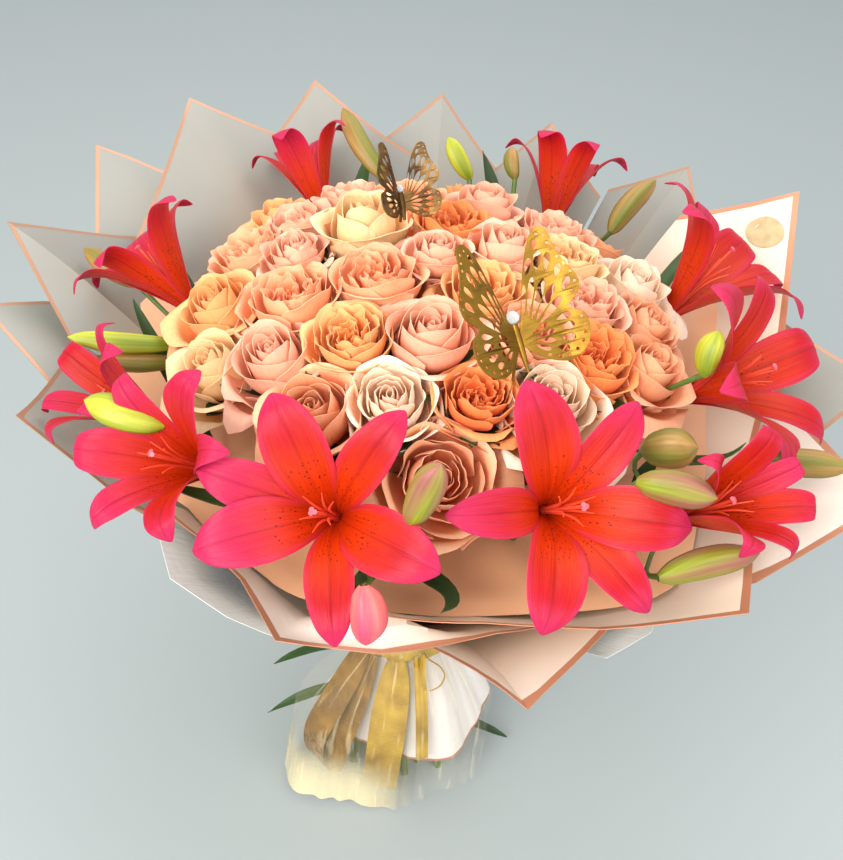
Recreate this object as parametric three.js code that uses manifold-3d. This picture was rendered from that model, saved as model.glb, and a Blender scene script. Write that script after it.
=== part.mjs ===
// A hand-tied bouquet of roses and lilies in folded paper, standing on its cut stem ends.
// Millimetres, +Z up, origin on the floor at the cut end of the centre stem, front towards -Y.
import * as THREE from 'three';
import { mergeVertices } from 'three/addons/utils/BufferGeometryUtils.js';
import Module from 'manifold-3d';

const wasm = await Module();
wasm.setup();

// Driving sizes
const GAP = 0.3; // between pieces that touch
const DOME = { height: 425, radius: 180, rise: 88 }; // the low dome that the rose faces lie on
const CORE = { low: 112, high: 188, radius: 25 }; // where the stems are pressed together
const TIE = { low: 140, high: 158.5, band: 43 }; // the wound ribbon round them
const TIE_SIDES = 16;
const FOOT_SPREAD = 57; // how far the cut ends flare from the axis
const STEM = { rose: 2.6, lily: 3.2 }; // radii
const STEM_TWIST = 55; // degrees that a stem turns from its flower to the tie, and again to the floor
const STEM_MARGIN = 8; // from the outermost stems' middles to the side of the pressed bundle
const PAPER_START = 160; // height at which the sheets leave the tie
const PAPER_THICK = 1.2; // measured upright, about 0.8 through the slanted sheet
const LAYER = 1.5; // from one sheet to the next at the tie
const SHEET_INNER = 30; // radius of the innermost sheet's start at the tie
const SHEET_STEP = 16; // degrees between a sheet's stations

// Roses: x and y of the face on the dome, bloom size, colour
const ROSES = [
  [-55, 40, 62, 'cream'],
  [-38, -28, 56, 'peach'],
  [0, 2, 44, 'blush'],
  [-95, -38, 64, 'peach'],
  [-150, -28, 56, 'apricot'],
  [-138, 36, 60, 'peach'],
  [-98, 12, 44, 'blush'],
  [-100, 64, 56, 'blush'],
  [-144, -82, 54, 'cream'],
  [-102, -92, 58, 'blush'],
  [-52, -84, 56, 'apricot'],
  [0, -80, 62, 'blush'],
  [-20, -130, 54, 'cream'],
  [34, -121, 52, 'orange'],
  [14, -170, 66, 'peach'],
  [-70, -136, 60, 'peach'],
  [82, -112, 66, 'cream'],
  [113, -66, 60, 'orange'],
  [153, -48, 52, 'peach'],
  [104, -18, 56, 'blush'],
  [92, 30, 58, 'cream'],
  [146, 42, 56, 'cream'],
  [36, -32, 56, 'apricot'],
  [46, 20, 48, 'blush'],
  [84, 82, 56, 'blush'],
  [10, 48, 54, 'orange'],
  [32, 98, 52, 'blush'],
  [-20, 94, 48, 'peach'],
  [-68, 108, 58, 'blush'],
  [152, -2, 50, 'peach'],
  [68, -66, 50, 'peach'],
  [-122, 108, 54, 'apricot'],
  [-30, 146, 54, 'cream'],
  [28, 148, 54, 'apricot'],
  [120, 112, 54, 'peach'],
];
const ROSE_COLOURS = {
  cream: '#f6dcb4', peach: '#f3b898', blush: '#f2c6b6', apricot: '#f2b378', orange: '#f0954f',
};

// Lilies: throat, compass bearing and lift of the face, petal directions, reach, rise of the tips
const LILIES = [
  [[-50, -190, 440], -100, 45, [125, 62, -14, -71, -151, 172], 74, 25],
  [[85, -168, 440], -72, 45, [103, 48, -17, -60, -113, 176], 74, 25],
  [[174, -148, 431], -40, 50, [125, 38, -5, -45, -92, -150], 44, 50],
  [[195, -42, 447], -22, 42, [98, 38, -22, -82, -142, 158], 68, 40],
  [[185, 61, 453], 22, 50, [98, 35, -9, -47, -87, -152], 68, 44],
  [[90, 183, 445], 78, 50, [120, 70, -5, -65, -115, -165], 50, 42],
  [[-100, 167, 447], 127, 47, [120, 50, -50, -95, -140, -178], 45, 40],
  [[-187, 32, 439], 155, 38, [170, 95, 20, -30, -85, -135], 56, 40],
  [[-139, -153, 437], -130, 42, [88, 30, -36, -100, -152, 150], 56, 38],
  [[-186, -84, 417], -165, 40, [72, 12, -48, -108, -168, 132], 43, 46],
];

// Lily buds: the lily that carries it, foot and tip of the bud, and its thickness
const BUDS = [
  [7, [-214, 54, 418], [-259, 76, 432], 15],
  [9, [-170, -26, 426], [-238, -45, 437], 18],
  [8, [-152, -142, 455], [-202, -134, 463], 20],
  [6, [-45, 170, 457], [-84, 216, 492], 16],
  [5, [21, 180, 458], [1, 194, 486], 14],
  [5, [56, 181, 461], [51, 199, 480], 12],
  [5, [128, 122, 456], [162, 166, 480], 17],
  [3, [174, -71, 473], [179, -59, 501], 16],
  [2, [134, -123, 453], [166, -130, 464], 24],
  [2, [126, -165, 464], [172, -175, 465], 20],
  [2, [212, -98, 429], [269, -107, 440], 18],
  [2, [146, -190, 412], [208, -168, 418], 19],
  [0, [-2, -213, 462], [12, -212, 506], 19],
  [0, [-24, -243, 441], [-20, -259, 410], 20],
];

// Lily leaves: the lily whose stem it leaves, bend and tip, and the width
const LEAVES = [
  [8, [-110, -170, 418], [-165, -152, 421], 13],
  [2, [140, -118, 425], [150, -104, 436], 13],
  [3, [190, -104, 415], [205, -92, 440], 12],
  [0, [45, -205, 400], [20, -232, 412], 13],
  [0, [-5, -205, 405], [-55, -241, 417], 11],
  [9, [-190, -20, 420], [-205, 2, 443], 12],
  [7, [-195, 80, 425], [-215, 95, 445], 12],
  [6, [-70, 200, 430], [-60, 225, 455], 13],
  [5, [45, 205, 430], [30, 235, 455], 13],
  [4, [180, 140, 425], [205, 150, 440], 12],
];
// Leaves low on the handle: foot, bend and tip, and the width
const HANDLE_LEAVES = [
  [[-14, -4, 112], [-66, -14, 128], [-104, -40, 120], 11],
  [[-18, -6, 70], [-70, -14, 66], [-110, -36, 50], 11],
  [[22, -4, 30], [62, -4, 26], [100, -8, 8], 12],
];

// Folded sheets, from the innermost out. Each corner flap is a row of rim points, right to left
// seen from above, and two flaps of one sheet meet at the tie.
const SHEETS = [
  { name: 'paper_right', layer: 0, flaps: [[[-45, -205, 385], [-12, -214, 388], [47, -214, 387],
    [117, -209, 386], [201, -201, 402], [210, -157, 397], [231, -32, 394], [256, 56, 428],
    [275, 176, 475], [192, 195, 434]]] },
  { name: 'paper_front', layer: 1, flaps: [
    [[-173, -112, 368], [-132, -150, 368], [-103, -180, 368], [-74, -232, 376], [-13, -223, 360],
      [58, -190, 350], [95, -160, 332]],
    [[-2, -168, 318], [77, -242, 345], [138, -150, 332], [158, -120, 335]]] },
  { name: 'paper_back_left', layer: 2, flaps: [
    [[-87, 238, 430], [-128, 236, 449], [-207, 223, 484], [-235, 110, 407]],
    [[-29, 250, 441], [-51, 255, 450], [-113, 274, 484], [-181, 178, 414]]] },
  { name: 'paper_left', layer: 3, flaps: [
    [[-192, 168, 400], [-234, 153, 397], [-311, 71, 450], [-260, 23, 388],
      [-255, 14, 387], [-260, -98, 418], [-186, -117, 362], [-162, -105, 332]]] },
  { name: 'paper_back', layer: 4, flaps: [
    [[46, 258, 426], [-7, 294, 478], [-96, 242, 416]],
    [[132, 238, 422], [117, 246, 436], [86, 276, 466], [38, 258, 424]]] },
  { name: 'paper_far_right', layer: 5, flaps: [
    [[180, -138, 345], [219, -148, 372], [297, -113, 420], [255, 48, 388]]] },
  { name: 'paper_far_left', layer: 6, flaps: [
    [[-175, 216, 405], [-232, 220, 418], [-288, 229, 430], [-270, 140, 392],
      [-254, 87, 372], [-290, 64, 388], [-327, 35, 404], [-253, -20, 362]]] },
  { name: 'paper_back_right', layer: 7, flaps: [
    [[244, -22, 345], [326, 24, 408], [270, 108, 396], [240, 160, 395],
      [227, 191, 412], [211, 208, 424], [199, 236, 456], [139, 247, 424]]] },
];
const FILM_LAYER = 9;
const FILM_FLAPS = [
  [[-170, -118, 352], [-150, -168, 350], [-112, -182, 334], [-70, -170, 300]],
  [[104, -150, 300], [132, -172, 318], [160, -158, 330], [170, -120, 325]],
];

// Butterflies: body, the way its head points, the way each wing spreads, scale, length of the pick
// down to just above a bloom
const BUTTERFLIES = [
  ['butterfly_front', [52, -108, 516],
    [-0.37, 0.6, 0.71], [0.93, 0.22, 0.26], [-0.62, -0.64, 0.45], 1, 30.5],
  ['butterfly_back', [-26, 24, 524],
    [-0.24, 0.62, 0.74], [0.9, 0.25, 0.2], [-0.35, -0.65, 0.6], 0.62, 15],
];

const COLOURS = {
  lily: '#ee4150', green: '#4f7434', paper: '#f1e3d2', film: '#e4e9e6', ribbon: '#d9b24a', gold: '#c49a2c',
};

const vec = (x, y, z) => new THREE.Vector3(x, y, z);
const rad = THREE.MathUtils.degToRad;
const polar = (radius, angle, z) => vec(radius * Math.cos(angle), radius * Math.sin(angle), z);
const UP = vec(0, 0, 1);

/** The unit vector at a bearing and a lift above level, both in degrees. */
function facing(bearing, lift) {
  return polar(Math.cos(rad(lift)), rad(bearing), Math.sin(rad(lift)));
}

/** A frame of three unit vectors whose third is the given axis. */
function frameAlong(axis) {
  const out = axis.clone().normalize();
  const across = vec(0, 0, 1).cross(out);
  if (across.length() < 1e-3) across.set(1, 0, 0);
  across.normalize();
  return { across, over: out.clone().cross(across), out };
}

/** Triangles that close a ring by strips from one side to the other. */
function capStrips(count) {
  const faces = [];
  let low = 0;
  let high = count - 1;
  while (high - low > 1) {
    faces.push([low, low + 1, high]);
    low += 1;
    if (high - low > 1) {
      faces.push([low, high - 1, high]);
      high -= 1;
    }
  }
  return faces;
}

function signedVolume(points, index) {
  let sum = 0;
  for (let i = 0; i < index.length; i += 3) {
    const [a, b, c] = [points[index[i]], points[index[i + 1]], points[index[i + 2]]];
    sum += a.dot(b.clone().cross(c));
  }
  return sum / 6;
}

/** Quads between rings of equal count, split so that a thin blade's two faces are alike. */
function addBands(index, ringCount, count, start = 0, closed = false) {
  const bands = closed ? ringCount : ringCount - 1;
  for (let s = 0; s < bands; s += 1) {
    const here = start + s * count;
    const there = start + ((s + 1) % ringCount) * count;
    for (let i = 0; i < count; i += 1) {
      const j = (i + 1) % count;
      const [a, b, c, d] = [here + i, here + j, there + i, there + j];
      if (i < count / 2) index.push(a, b, c, b, d, c);
      else index.push(a, b, d, a, d, c);
    }
  }
}

function skin(points, index) {
  if (signedVolume(points, index) < 0) index.reverse();
  const geometry = new THREE.BufferGeometry();
  const places = points.flatMap((point) => point.toArray());
  geometry.setAttribute('position', new THREE.Float32BufferAttribute(places, 3));
  geometry.setIndex(index);
  return geometry;
}

/** The closed skin over a row of rings, with its two ends capped. */
function loft(rings) {
  const count = rings[0].length;
  const index = [];
  addBands(index, rings.length, count);
  const last = (rings.length - 1) * count;
  for (const [p, q, r] of capStrips(count)) index.push(r, q, p, last + p, last + q, last + r);
  return skin(rings.flat(), index);
}

function solidOf(geometry) {
  const bare = geometry.clone();
  bare.deleteAttribute('normal');
  bare.deleteAttribute('uv');
  const welded = mergeVertices(bare);
  return new wasm.Manifold(new wasm.Mesh({
    numProp: 3,
    vertProperties: new Float32Array(welded.attributes.position.array),
    triVerts: new Uint32Array(welded.index.array),
  }));
}

/** One body out of pieces that run into each other: hollows filled, loose scraps dropped. */
function fuse(geometries) {
  const joined = geometries.map(solidOf).reduce((sum, piece) => sum.add(piece));
  const bodies = joined.decompose().sort((a, b) => b.volume() - a.volume());
  const mesh = bodies[0].getMesh();
  const geometry = new THREE.BufferGeometry();
  geometry.setAttribute('position', new THREE.Float32BufferAttribute(mesh.vertProperties, 3));
  geometry.setIndex(Array.from(mesh.triVerts));
  return geometry;
}

/** A rod of a few sides through some points; its two end faces may be turned to given directions. */
function rod(points, radius, sides, { foot, head } = {}) {
  let across = vec(1, 0, 0);
  const final = points.length - 1;
  const rings = points.map((point, i) => {
    const along = points[Math.min(i + 1, final)].clone().sub(points[Math.max(i - 1, 0)]).normalize();
    if (i === 0 && foot) along.copy(foot);
    if (i === final && head) along.copy(head);
    if (Math.abs(across.dot(along)) > 0.95) across = frameAlong(along).across;
    across = across.clone().addScaledVector(along, -across.dot(along)).normalize();
    const over = along.clone().cross(across);
    return Array.from({ length: sides }, (_, k) => {
      const turn = (2 * Math.PI * k) / sides;
      return point.clone().addScaledVector(across, radius * Math.cos(turn))
        .addScaledVector(over, radius * Math.sin(turn));
    });
  });
  return loft(rings);
}

function curvePoints(foot, bend, tip, steps) {
  return new THREE.QuadraticBezierCurve3(foot, bend, tip).getPoints(steps);
}

const twoDigits = (number) => String(number).padStart(2, '0');

const ROSE_SUNK = 0.3; // share of a bloom's size from the dome in to its heart
const ROSE_TURN = 2.4; // from one bloom's turn to the next one's
const NEIGHBOURS = 110; // blooms further apart than this never press on each other

// The dome's face point and outward direction over a place in plan.
function domeAt(x, y) {
  const rise = DOME.rise * Math.sqrt(1 - (x * x + y * y) / DOME.radius ** 2);
  const out = vec(x / DOME.radius ** 2, y / DOME.radius ** 2, rise / DOME.rise ** 2).normalize();
  return { face: vec(x, y, DOME.height + rise), out };
}

const blooms = ROSES.map(([x, y, size, colour], i) => {
  const { face, out } = domeAt(x, y);
  const heart = face.clone().addScaledVector(out, -ROSE_SUNK * size);
  return { name: `rose_${twoDigits(i + 1)}`, size, colour, out, heart, spin: i * ROSE_TURN };
});

// Each bloom keeps to its own side of the middle between it and every neighbour.
function neighbourWalls(bloom) {
  return blooms
    .filter((other) => other !== bloom && other.heart.distanceTo(bloom.heart) < NEIGHBOURS)
    .map((other) => {
      const towards = other.heart.clone().sub(bloom.heart);
      const share = bloom.size / (bloom.size + other.size);
      const reach = towards.length() * share - GAP / 2;
      return { towards: towards.normalize(), reach };
    });
}

/** Draws a point in towards the heart so that it stays inside every wall, in order. */
function pressedIn(offset, walls) {
  const free = 0.6;
  const fill = Math.max(...walls.map(({ towards, reach }) => offset.dot(towards) / reach));
  if (fill <= free) return offset;
  const pressed = free + (1 - free) * Math.tanh((fill - free) / (1 - free));
  return offset.multiplyScalar(pressed / fill);
}

// From the base up over three rows of petals and in to the heart. Shares of the bloom's size:
// radius, height, how far a petal's outer edge stands out, how its middle rises, turn in petals
const PETALS = 5;
const STEPS_A_PETAL = 3;
const ROSE_PROFILE = [
  [0.11, -0.5, 0, 0, 0],
  [0.45, -0.16, 0.03, 0, 0],
  [0.57, 0.2, 0.12, 0.05, 0],
  [0.43, 0.04, 0.06, 0, 0.1],
  [0.38, 0.32, 0.14, 0.05, 0.5],
  [0.24, 0.15, 0.06, 0, 0.6],
  [0.17, 0.36, 0.16, 0.05, 1.0],
];
const ROSE_BASE = -ROSE_PROFILE[0][1];

function roseGeometry(bloom) {
  const walls = neighbourWalls(bloom);
  const { across, over, out } = frameAlong(bloom.out);
  const steps = PETALS * STEPS_A_PETAL;
  const rings = ROSE_PROFILE.map(([radius, height, overlap, rise, turn]) => (
    Array.from({ length: steps }, (_, i) => {
      const along = (i % STEPS_A_PETAL) / STEPS_A_PETAL; // 0 at the outer edge, then tucked in
      const angle = bloom.spin + (2 * Math.PI * (i + turn * STEPS_A_PETAL * 0.5)) / steps;
      const r = bloom.size * radius * (1 + overlap * (0.5 - along) * 2);
      const h = bloom.size * (height + (i % STEPS_A_PETAL === 1 ? rise : -rise / 2));
      const offset = across.clone().multiplyScalar(r * Math.cos(angle))
        .addScaledVector(over, r * Math.sin(angle)).addScaledVector(out, h);
      return bloom.heart.clone().add(pressedIn(offset, walls));
    })
  ));
  return loft(rings);
}

// A petal's middle line from the mouth of the throat to the curled tip, as shares of its reach
// and of the flower's rise: distance from the axis, height, half width
const LILY_PETAL = [
  [0.26, 0.0, 0.13],
  [0.48, 0.55, 0.2],
  [0.7, 0.92, 0.19],
  [0.88, 1.0, 0.12],
  [1.0, 0.8, 0.015],
];
const LILY_DEPTH = 34; // from the mouth down to the stem
const LILY_FOOT = 2; // from there on to the stem's cut
const LILY_NECK = 4.5; // radius of the throat at the stem
const PETAL_THICK = 2;

/** The direction at some degrees round a flower's face. */
function rayOf({ across, over }, degrees) {
  return across.clone().multiplyScalar(Math.cos(rad(degrees)))
    .addScaledVector(over, Math.sin(rad(degrees)));
}

/** One petal's rings of four points: left edge, middle, right edge, underside. */
function petalRings(centre, frame, direction, room, { reach, rise, broad }) {
  const { out } = frame;
  const ray = rayOf(frame, direction);
  const side = out.clone().cross(ray);
  return LILY_PETAL.map(([distance, height, half], k) => {
    const middle = centre.clone().addScaledVector(ray, distance * reach)
      .addScaledVector(out, height * rise);
    const edges = room.map((gap) => {
      const free = distance * reach * Math.tan(rad(gap) / 2) * 0.9;
      return Math.min(half * reach * broad, free);
    });
    const thick = k === LILY_PETAL.length - 1 ? 0.8 : PETAL_THICK;
    const cup = Math.min(...edges) * 0.3;
    return [
      middle.clone().addScaledVector(side, -edges[0]).addScaledVector(out, cup),
      middle.clone(),
      middle.clone().addScaledVector(side, edges[1]).addScaledVector(out, cup),
      middle.clone().addScaledVector(out, -thick * 0.9).addScaledVector(ray, thick * 0.4),
    ];
  });
}

/** Adds the six petals' skins and returns where each one's points start. */
function addPetals(points, index, centre, frame, around, { reach, rise }) {
  const turnTo = (from, to) => (to - from + 360) % 360;
  const count = around.length;
  return around.map((direction, i) => {
    const before = around[(i + count - 1) % count];
    const after = around[(i + 1) % count];
    const room = [turnTo(before, direction), turnTo(direction, after)];
    const broad = i % 2 ? 1.1 : 0.9;
    const rings = petalRings(centre, frame, direction, room, { reach, rise, broad });
    const start = points.length;
    points.push(...rings.flat());
    addBands(index, rings.length, 4, start);
    const last = start + (rings.length - 1) * 4;
    for (const [p, q, r] of capStrips(4)) index.push(last + p, last + q, last + r);
    return start;
  });
}

/** Closes the petals' feet over the throat's heart and down to the neck on the stem. */
function addThroat(points, index, centre, frame, around, petals) {
  const heart = points.length;
  points.push(centre.clone().addScaledVector(frame.out, -LILY_DEPTH * 0.35));
  const neck = points.length;
  const stemEnd = centre.clone().addScaledVector(frame.out, -LILY_DEPTH - LILY_FOOT);
  for (const direction of around) {
    points.push(stemEnd.clone().addScaledVector(rayOf(frame, direction), LILY_NECK));
  }
  petals.forEach((start, i) => {
    const [left, middle, right, under] = [start, start + 1, start + 2, start + 3];
    const nextLeft = petals[(i + 1) % petals.length];
    const here = neck + i;
    const next = neck + ((i + 1) % petals.length);
    index.push(middle, left, heart, right, middle, heart, nextLeft, right, heart);
    index.push(under, right, here, left, under, here, here, right, nextLeft, here, nextLeft, next);
  });
  for (const [p, q, r] of capStrips(petals.length)) index.push(neck + p, neck + q, neck + r);
}

/** An open lily with its pistil, and the buds on its side branches. */
function lilyGeometry([throat, bearing, lift, directions, reach, rise], number) {
  const frame = frameAlong(facing(bearing, lift));
  const centre = vec(...throat);
  const around = [...directions].sort((a, b) => a - b);
  const points = [];
  const index = [];
  const petals = addPetals(points, index, centre, frame, around, { reach, rise });
  addThroat(points, index, centre, frame, around, petals);
  const along = (distance) => centre.clone().addScaledVector(frame.out, distance);
  const pistil = rod([along(-LILY_DEPTH * 0.6), along(reach * 0.62)], 1.2, 4);
  const neckPoint = along(-LILY_DEPTH * 0.8);
  const buds = BUDS.filter(([lily]) => lily === number)
    .flatMap((bud) => [budGeometry(bud), branchGeometry(bud, neckPoint)]);
  return fuse([skin(points, index), pistil, ...buds]);
}

const lilies = LILIES.map(([throat, bearing, lift]) => {
  const out = facing(bearing, lift);
  return { base: vec(...throat).addScaledVector(out, -LILY_DEPTH - LILY_FOOT - GAP), out };
});

/** A stem's way from its cut end through the tie, part of a turn round, to what it carries. */
function stemPoints(top) {
  const bearing = Math.atan2(top.y, top.x);
  const spread = Math.min(Math.hypot(top.x, top.y) / DOME.radius, 1);
  return [
    polar(FOOT_SPREAD * spread, bearing + rad(2 * STEM_TWIST), 0),
    polar((CORE.radius - STEM_MARGIN) * spread, bearing + rad(STEM_TWIST), (CORE.low + CORE.high) / 2),
    top,
  ];
}

function budGeometry([, foot, tip, thick]) {
  const start = vec(...foot);
  const along = vec(...tip).sub(start);
  const { across, over } = frameAlong(along);
  const profile = [[0, 0.25], [0.28, 0.9], [0.66, 0.92], [1, 0.14]];
  return loft(profile.map(([share, width]) => Array.from({ length: 6 }, (_, i) => {
    const ridge = i % 2 ? 0.86 : 1;
    const r = (thick / 2) * width * ridge;
    return start.clone().addScaledVector(along, share)
      .addScaledVector(across, r * Math.cos((Math.PI * i) / 3))
      .addScaledVector(over, r * Math.sin((Math.PI * i) / 3));
  })));
}

/** A bud's branch, from the neck of its lily out to the bud. */
function branchGeometry(bud, neck) {
  const end = vec(...bud[1]);
  end.addScaledVector(vec(...bud[2]).sub(end).normalize(), 2);
  return rod([neck, end], 1.7, 4);
}

// Where a leaf leaves a lily's stem, some way below the flower.
function nodeOnStem(lily, below) {
  const [, tied, top] = stemPoints(lilies[lily].base);
  return top.clone().addScaledVector(tied.clone().sub(top).normalize(), below);
}

function leafGeometry(foot, bend, tip, width) {
  const points = curvePoints(foot, vec(...bend), vec(...tip), 4);
  const shape = [0.3, 0.8, 1, 0.7, 0.06];
  return loft(points.map((point, i) => {
    const along = points[Math.min(i + 1, 4)].clone().sub(points[Math.max(i - 1, 0)]);
    const side = along.clone().cross(UP).normalize();
    const normal = side.clone().cross(along).normalize();
    const half = (width / 2) * shape[i];
    return [
      point.clone().addScaledVector(side, -half).addScaledVector(normal, half * 0.25),
      point.clone(),
      point.clone().addScaledVector(side, half).addScaledVector(normal, half * 0.25),
      point.clone().addScaledVector(normal, -1.4),
    ];
  }));
}

function greenGeometry() {
  const core = new THREE.CylinderGeometry(CORE.radius, CORE.radius, CORE.high - CORE.low, TIE_SIDES)
    .rotateX(Math.PI / 2).translate(0, 0, (CORE.high + CORE.low) / 2);
  const roseStems = blooms.map(({ heart, out, size }) => {
    const top = heart.clone().addScaledVector(out, -ROSE_BASE * size - GAP);
    return rod(stemPoints(top), STEM.rose, 4, { foot: UP, head: out });
  });
  const lilyStems = lilies.map(({ base, out }) => (
    rod(stemPoints(base), STEM.lily, 4, { foot: UP, head: out })
  ));
  const leaves = LEAVES.map(([lily, ...leaf]) => leafGeometry(nodeOnStem(lily, 60), ...leaf));
  const handleLeaves = HANDLE_LEAVES.map(([foot, ...leaf]) => leafGeometry(vec(...foot), ...leaf));
  return fuse([core, ...roseStems, ...lilyStems, ...leaves, ...handleLeaves]);
}

// Sheets flare like a trumpet: steep at the tie and flatter towards the rim.
const FLARE = 24;
function flareAt(radius) {
  return FLARE * (1 - ((radius - 145) / 115) ** 2);
}

function paperHeight(radius, start, slope) {
  return PAPER_START + (radius - start) * slope + flareAt(radius) - flareAt(start);
}

/** The slope from the tie to each corner of a rim. */
function rimCorners(rim, start) {
  return rim.map(([x, y, z]) => {
    const radius = Math.hypot(x, y);
    const slope = (z - PAPER_START - flareAt(radius) + flareAt(start)) / (radius - start);
    return { x, y, slope };
  });
}

/** Stations along a rim's straight edges, no further apart than about a step round the axis. */
function rimStations(corners) {
  const stations = [corners[0]];
  for (let i = 1; i < corners.length; i += 1) {
    const [from, to] = [corners[i - 1], corners[i]];
    const turn = Math.atan2(from.x * to.y - from.y * to.x, from.x * to.x + from.y * to.y);
    const parts = Math.max(1, Math.round(Math.abs(turn) / rad(SHEET_STEP)));
    for (let k = 1; k <= parts; k += 1) {
      const between = (key) => from[key] + (to[key] - from[key]) * (k / parts);
      stations.push({ x: between('x'), y: between('y'), slope: between('slope') });
    }
  }
  return stations;
}

/** One corner flap: from the tie out to a rim of straight edges. */
function flapGeometry(rim, layer) {
  const start = SHEET_INNER + LAYER * layer;
  return loft(rimStations(rimCorners(rim, start)).map(({ x, y, slope }) => {
    const bearing = Math.atan2(y, x);
    const reach = Math.hypot(x, y);
    const radii = [start, (start + reach) / 2, reach];
    const at = (radius, drop) => polar(radius, bearing, paperHeight(radius, start, slope) - drop);
    const top = radii.map((radius) => at(radius, 0));
    const under = radii.map((radius) => at(radius, PAPER_THICK)).reverse();
    return [...top, ...under];
  }));
}

/** A round band about the axis with a closed four-cornered profile. */
function bandGeometry(inner, outer, low, high, sides) {
  return new THREE.LatheGeometry([
    new THREE.Vector2(inner, low), new THREE.Vector2(outer, low),
    new THREE.Vector2(outer, high), new THREE.Vector2(inner, high), new THREE.Vector2(inner, low),
  ], sides).rotateX(Math.PI / 2);
}

/** A flat strip along rows of a point and the width there, level and square to the axis. */
function stripGeometry(rows, thick) {
  const points = rows.map(([x, y, z]) => vec(x, y, z));
  return loft(points.map((point, i) => {
    const half = rows[i][3] / 2;
    const along = points[Math.min(i + 1, points.length - 1)].clone().sub(points[Math.max(i - 1, 0)]);
    const side = vec(-point.y, point.x, 0).normalize();
    const normal = side.clone().cross(along).normalize().multiplyScalar(thick / 2);
    const at = (s, n) => point.clone().addScaledVector(side, s * half).addScaledVector(normal, n);
    return [at(-1, 1), at(1, 1), at(1, -1), at(-1, -1)];
  }));
}

// The bow loop and the tail start inside the band and hang between the frill and the film:
// points and the width there
const RIBBON_LOOP = [
  [-27, -25, 146, 10], [-38, -33, 118, 24], [-52, -44, 88, 28], [-67, -56, 55, 28], [-66, -62, 32, 28],
  [-54, -66, 30, 28], [-46, -58, 60, 28], [-34, -46, 100, 24], [-22, -30, 146, 10],
];
const RIBBON_TAIL = [
  [-4, -37, 146, 10], [-4, -47, 122, 24], [-6, -60, 92, 30], [-8, -73, 52, 30], [-10, -75, 14, 30],
];

function ribbonGeometry() {
  const band = bandGeometry(CORE.radius + GAP, TIE.band, TIE.low, TIE.high, TIE_SIDES);
  return fuse([
    band,
    stripGeometry(RIBBON_LOOP, 1),
    stripGeometry(RIBBON_TAIL, 1),
  ]);
}

/** A hanging skirt of paper or film: three points down its outside, closed by its inside. */
function skirtGeometry(stations, thick) {
  return loft(stations.map(({ angle, rows }) => {
    const outer = rows.map(([radius, z]) => polar(radius, angle, z));
    const inner = rows.map(([radius, z]) => polar(radius - thick, angle, z)).reverse();
    return [...outer, ...inner];
  }));
}

/** Evenly spaced angles from one bearing to another, both in degrees. */
function anglesBetween(from, to, count) {
  return Array.from({ length: count }, (_, i) => rad(from + ((to - from) * i) / (count - 1)));
}

// The frill of paper under the tie, open at the left where leaves come through.
const FRILL = { from: -152, to: 148, top: 31, hem: 66, middle: 96, low: 46 };
function frillGeometry() {
  return skirtGeometry(anglesBetween(FRILL.from, FRILL.to, 17).map((angle) => {
    const wave = Math.sin(5 * angle);
    const hem = FRILL.hem + 12 * Math.cos(angle) + 4 * wave;
    const middle = 0.45 * FRILL.top + 0.55 * hem + 2 * wave;
    const low = FRILL.low + 3 * Math.cos(3 * angle);
    return { angle, rows: [[FRILL.top, TIE.low - GAP], [middle, FRILL.middle], [hem, low]] };
  }), 1);
}

// Clear film: a sleeve round the tie, a skirt at the front and two corners under the sheets.
const FILM_SKIRT = { from: -157, to: -15, top: 44.6, side: 84, middle: 78, low: 5 };
const FILM_BULGE = { at: -136, width: 26, middle: 18, hem: 28 };
function filmGeometry() {
  const skirt = skirtGeometry(anglesBetween(FILM_SKIRT.from, FILM_SKIRT.to, 12).map((angle) => {
    const bulge = Math.exp(-(((angle - rad(FILM_BULGE.at)) / rad(FILM_BULGE.width)) ** 2));
    const wave = Math.sin(7 * angle);
    const middle = FILM_SKIRT.side + FILM_BULGE.middle * bulge + 2 * wave;
    const hem = FILM_SKIRT.side + FILM_BULGE.hem * bulge + 3 * wave;
    const low = FILM_SKIRT.low + 3 * Math.sin(5 * angle);
    return { angle, rows: [[FILM_SKIRT.top, TIE.low], [middle, FILM_SKIRT.middle], [hem, low]] };
  }), 1.1);
  const sleeve = bandGeometry(TIE.band + GAP, TIE.band + 1.8, TIE.low - 2, PAPER_START, TIE_SIDES);
  return fuse([sleeve, skirt, ...FILM_FLAPS.map((rim) => flapGeometry(rim, FILM_LAYER))]);
}

// One wing, spread to +X from the body along +Y, with cut cells between its veins.
function wingShape() {
  const wing = new THREE.Shape([
    [1, -2], [6, 14], [12, 34], [20, 52], [28, 60], [33, 56], [35, 42], [41, 30], [42, 18], [36, 12],
    [41, 4], [40, -10], [32, -18], [20, -18], [8, -12],
  ].map(([x, y]) => new THREE.Vector2(x, y)));
  const cells = [
    [[10, 18], [20, 26], [27, 40], [20, 44]],
    [[13, 14], [32, 18], [34, 28], [22, 24]],
    [[14, -1], [34, 0], [32, 6], [12, 4]],
    [[16, -11], [28, -12], [30, -6], [12, -5]],
  ];
  wing.holes = cells.map((cell) => new THREE.Path(cell.map(([x, y]) => new THREE.Vector2(x, y))));
  return new THREE.ExtrudeGeometry(wing, { depth: 1, bevelEnabled: false }).translate(0, 0, -0.5);
}

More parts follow.
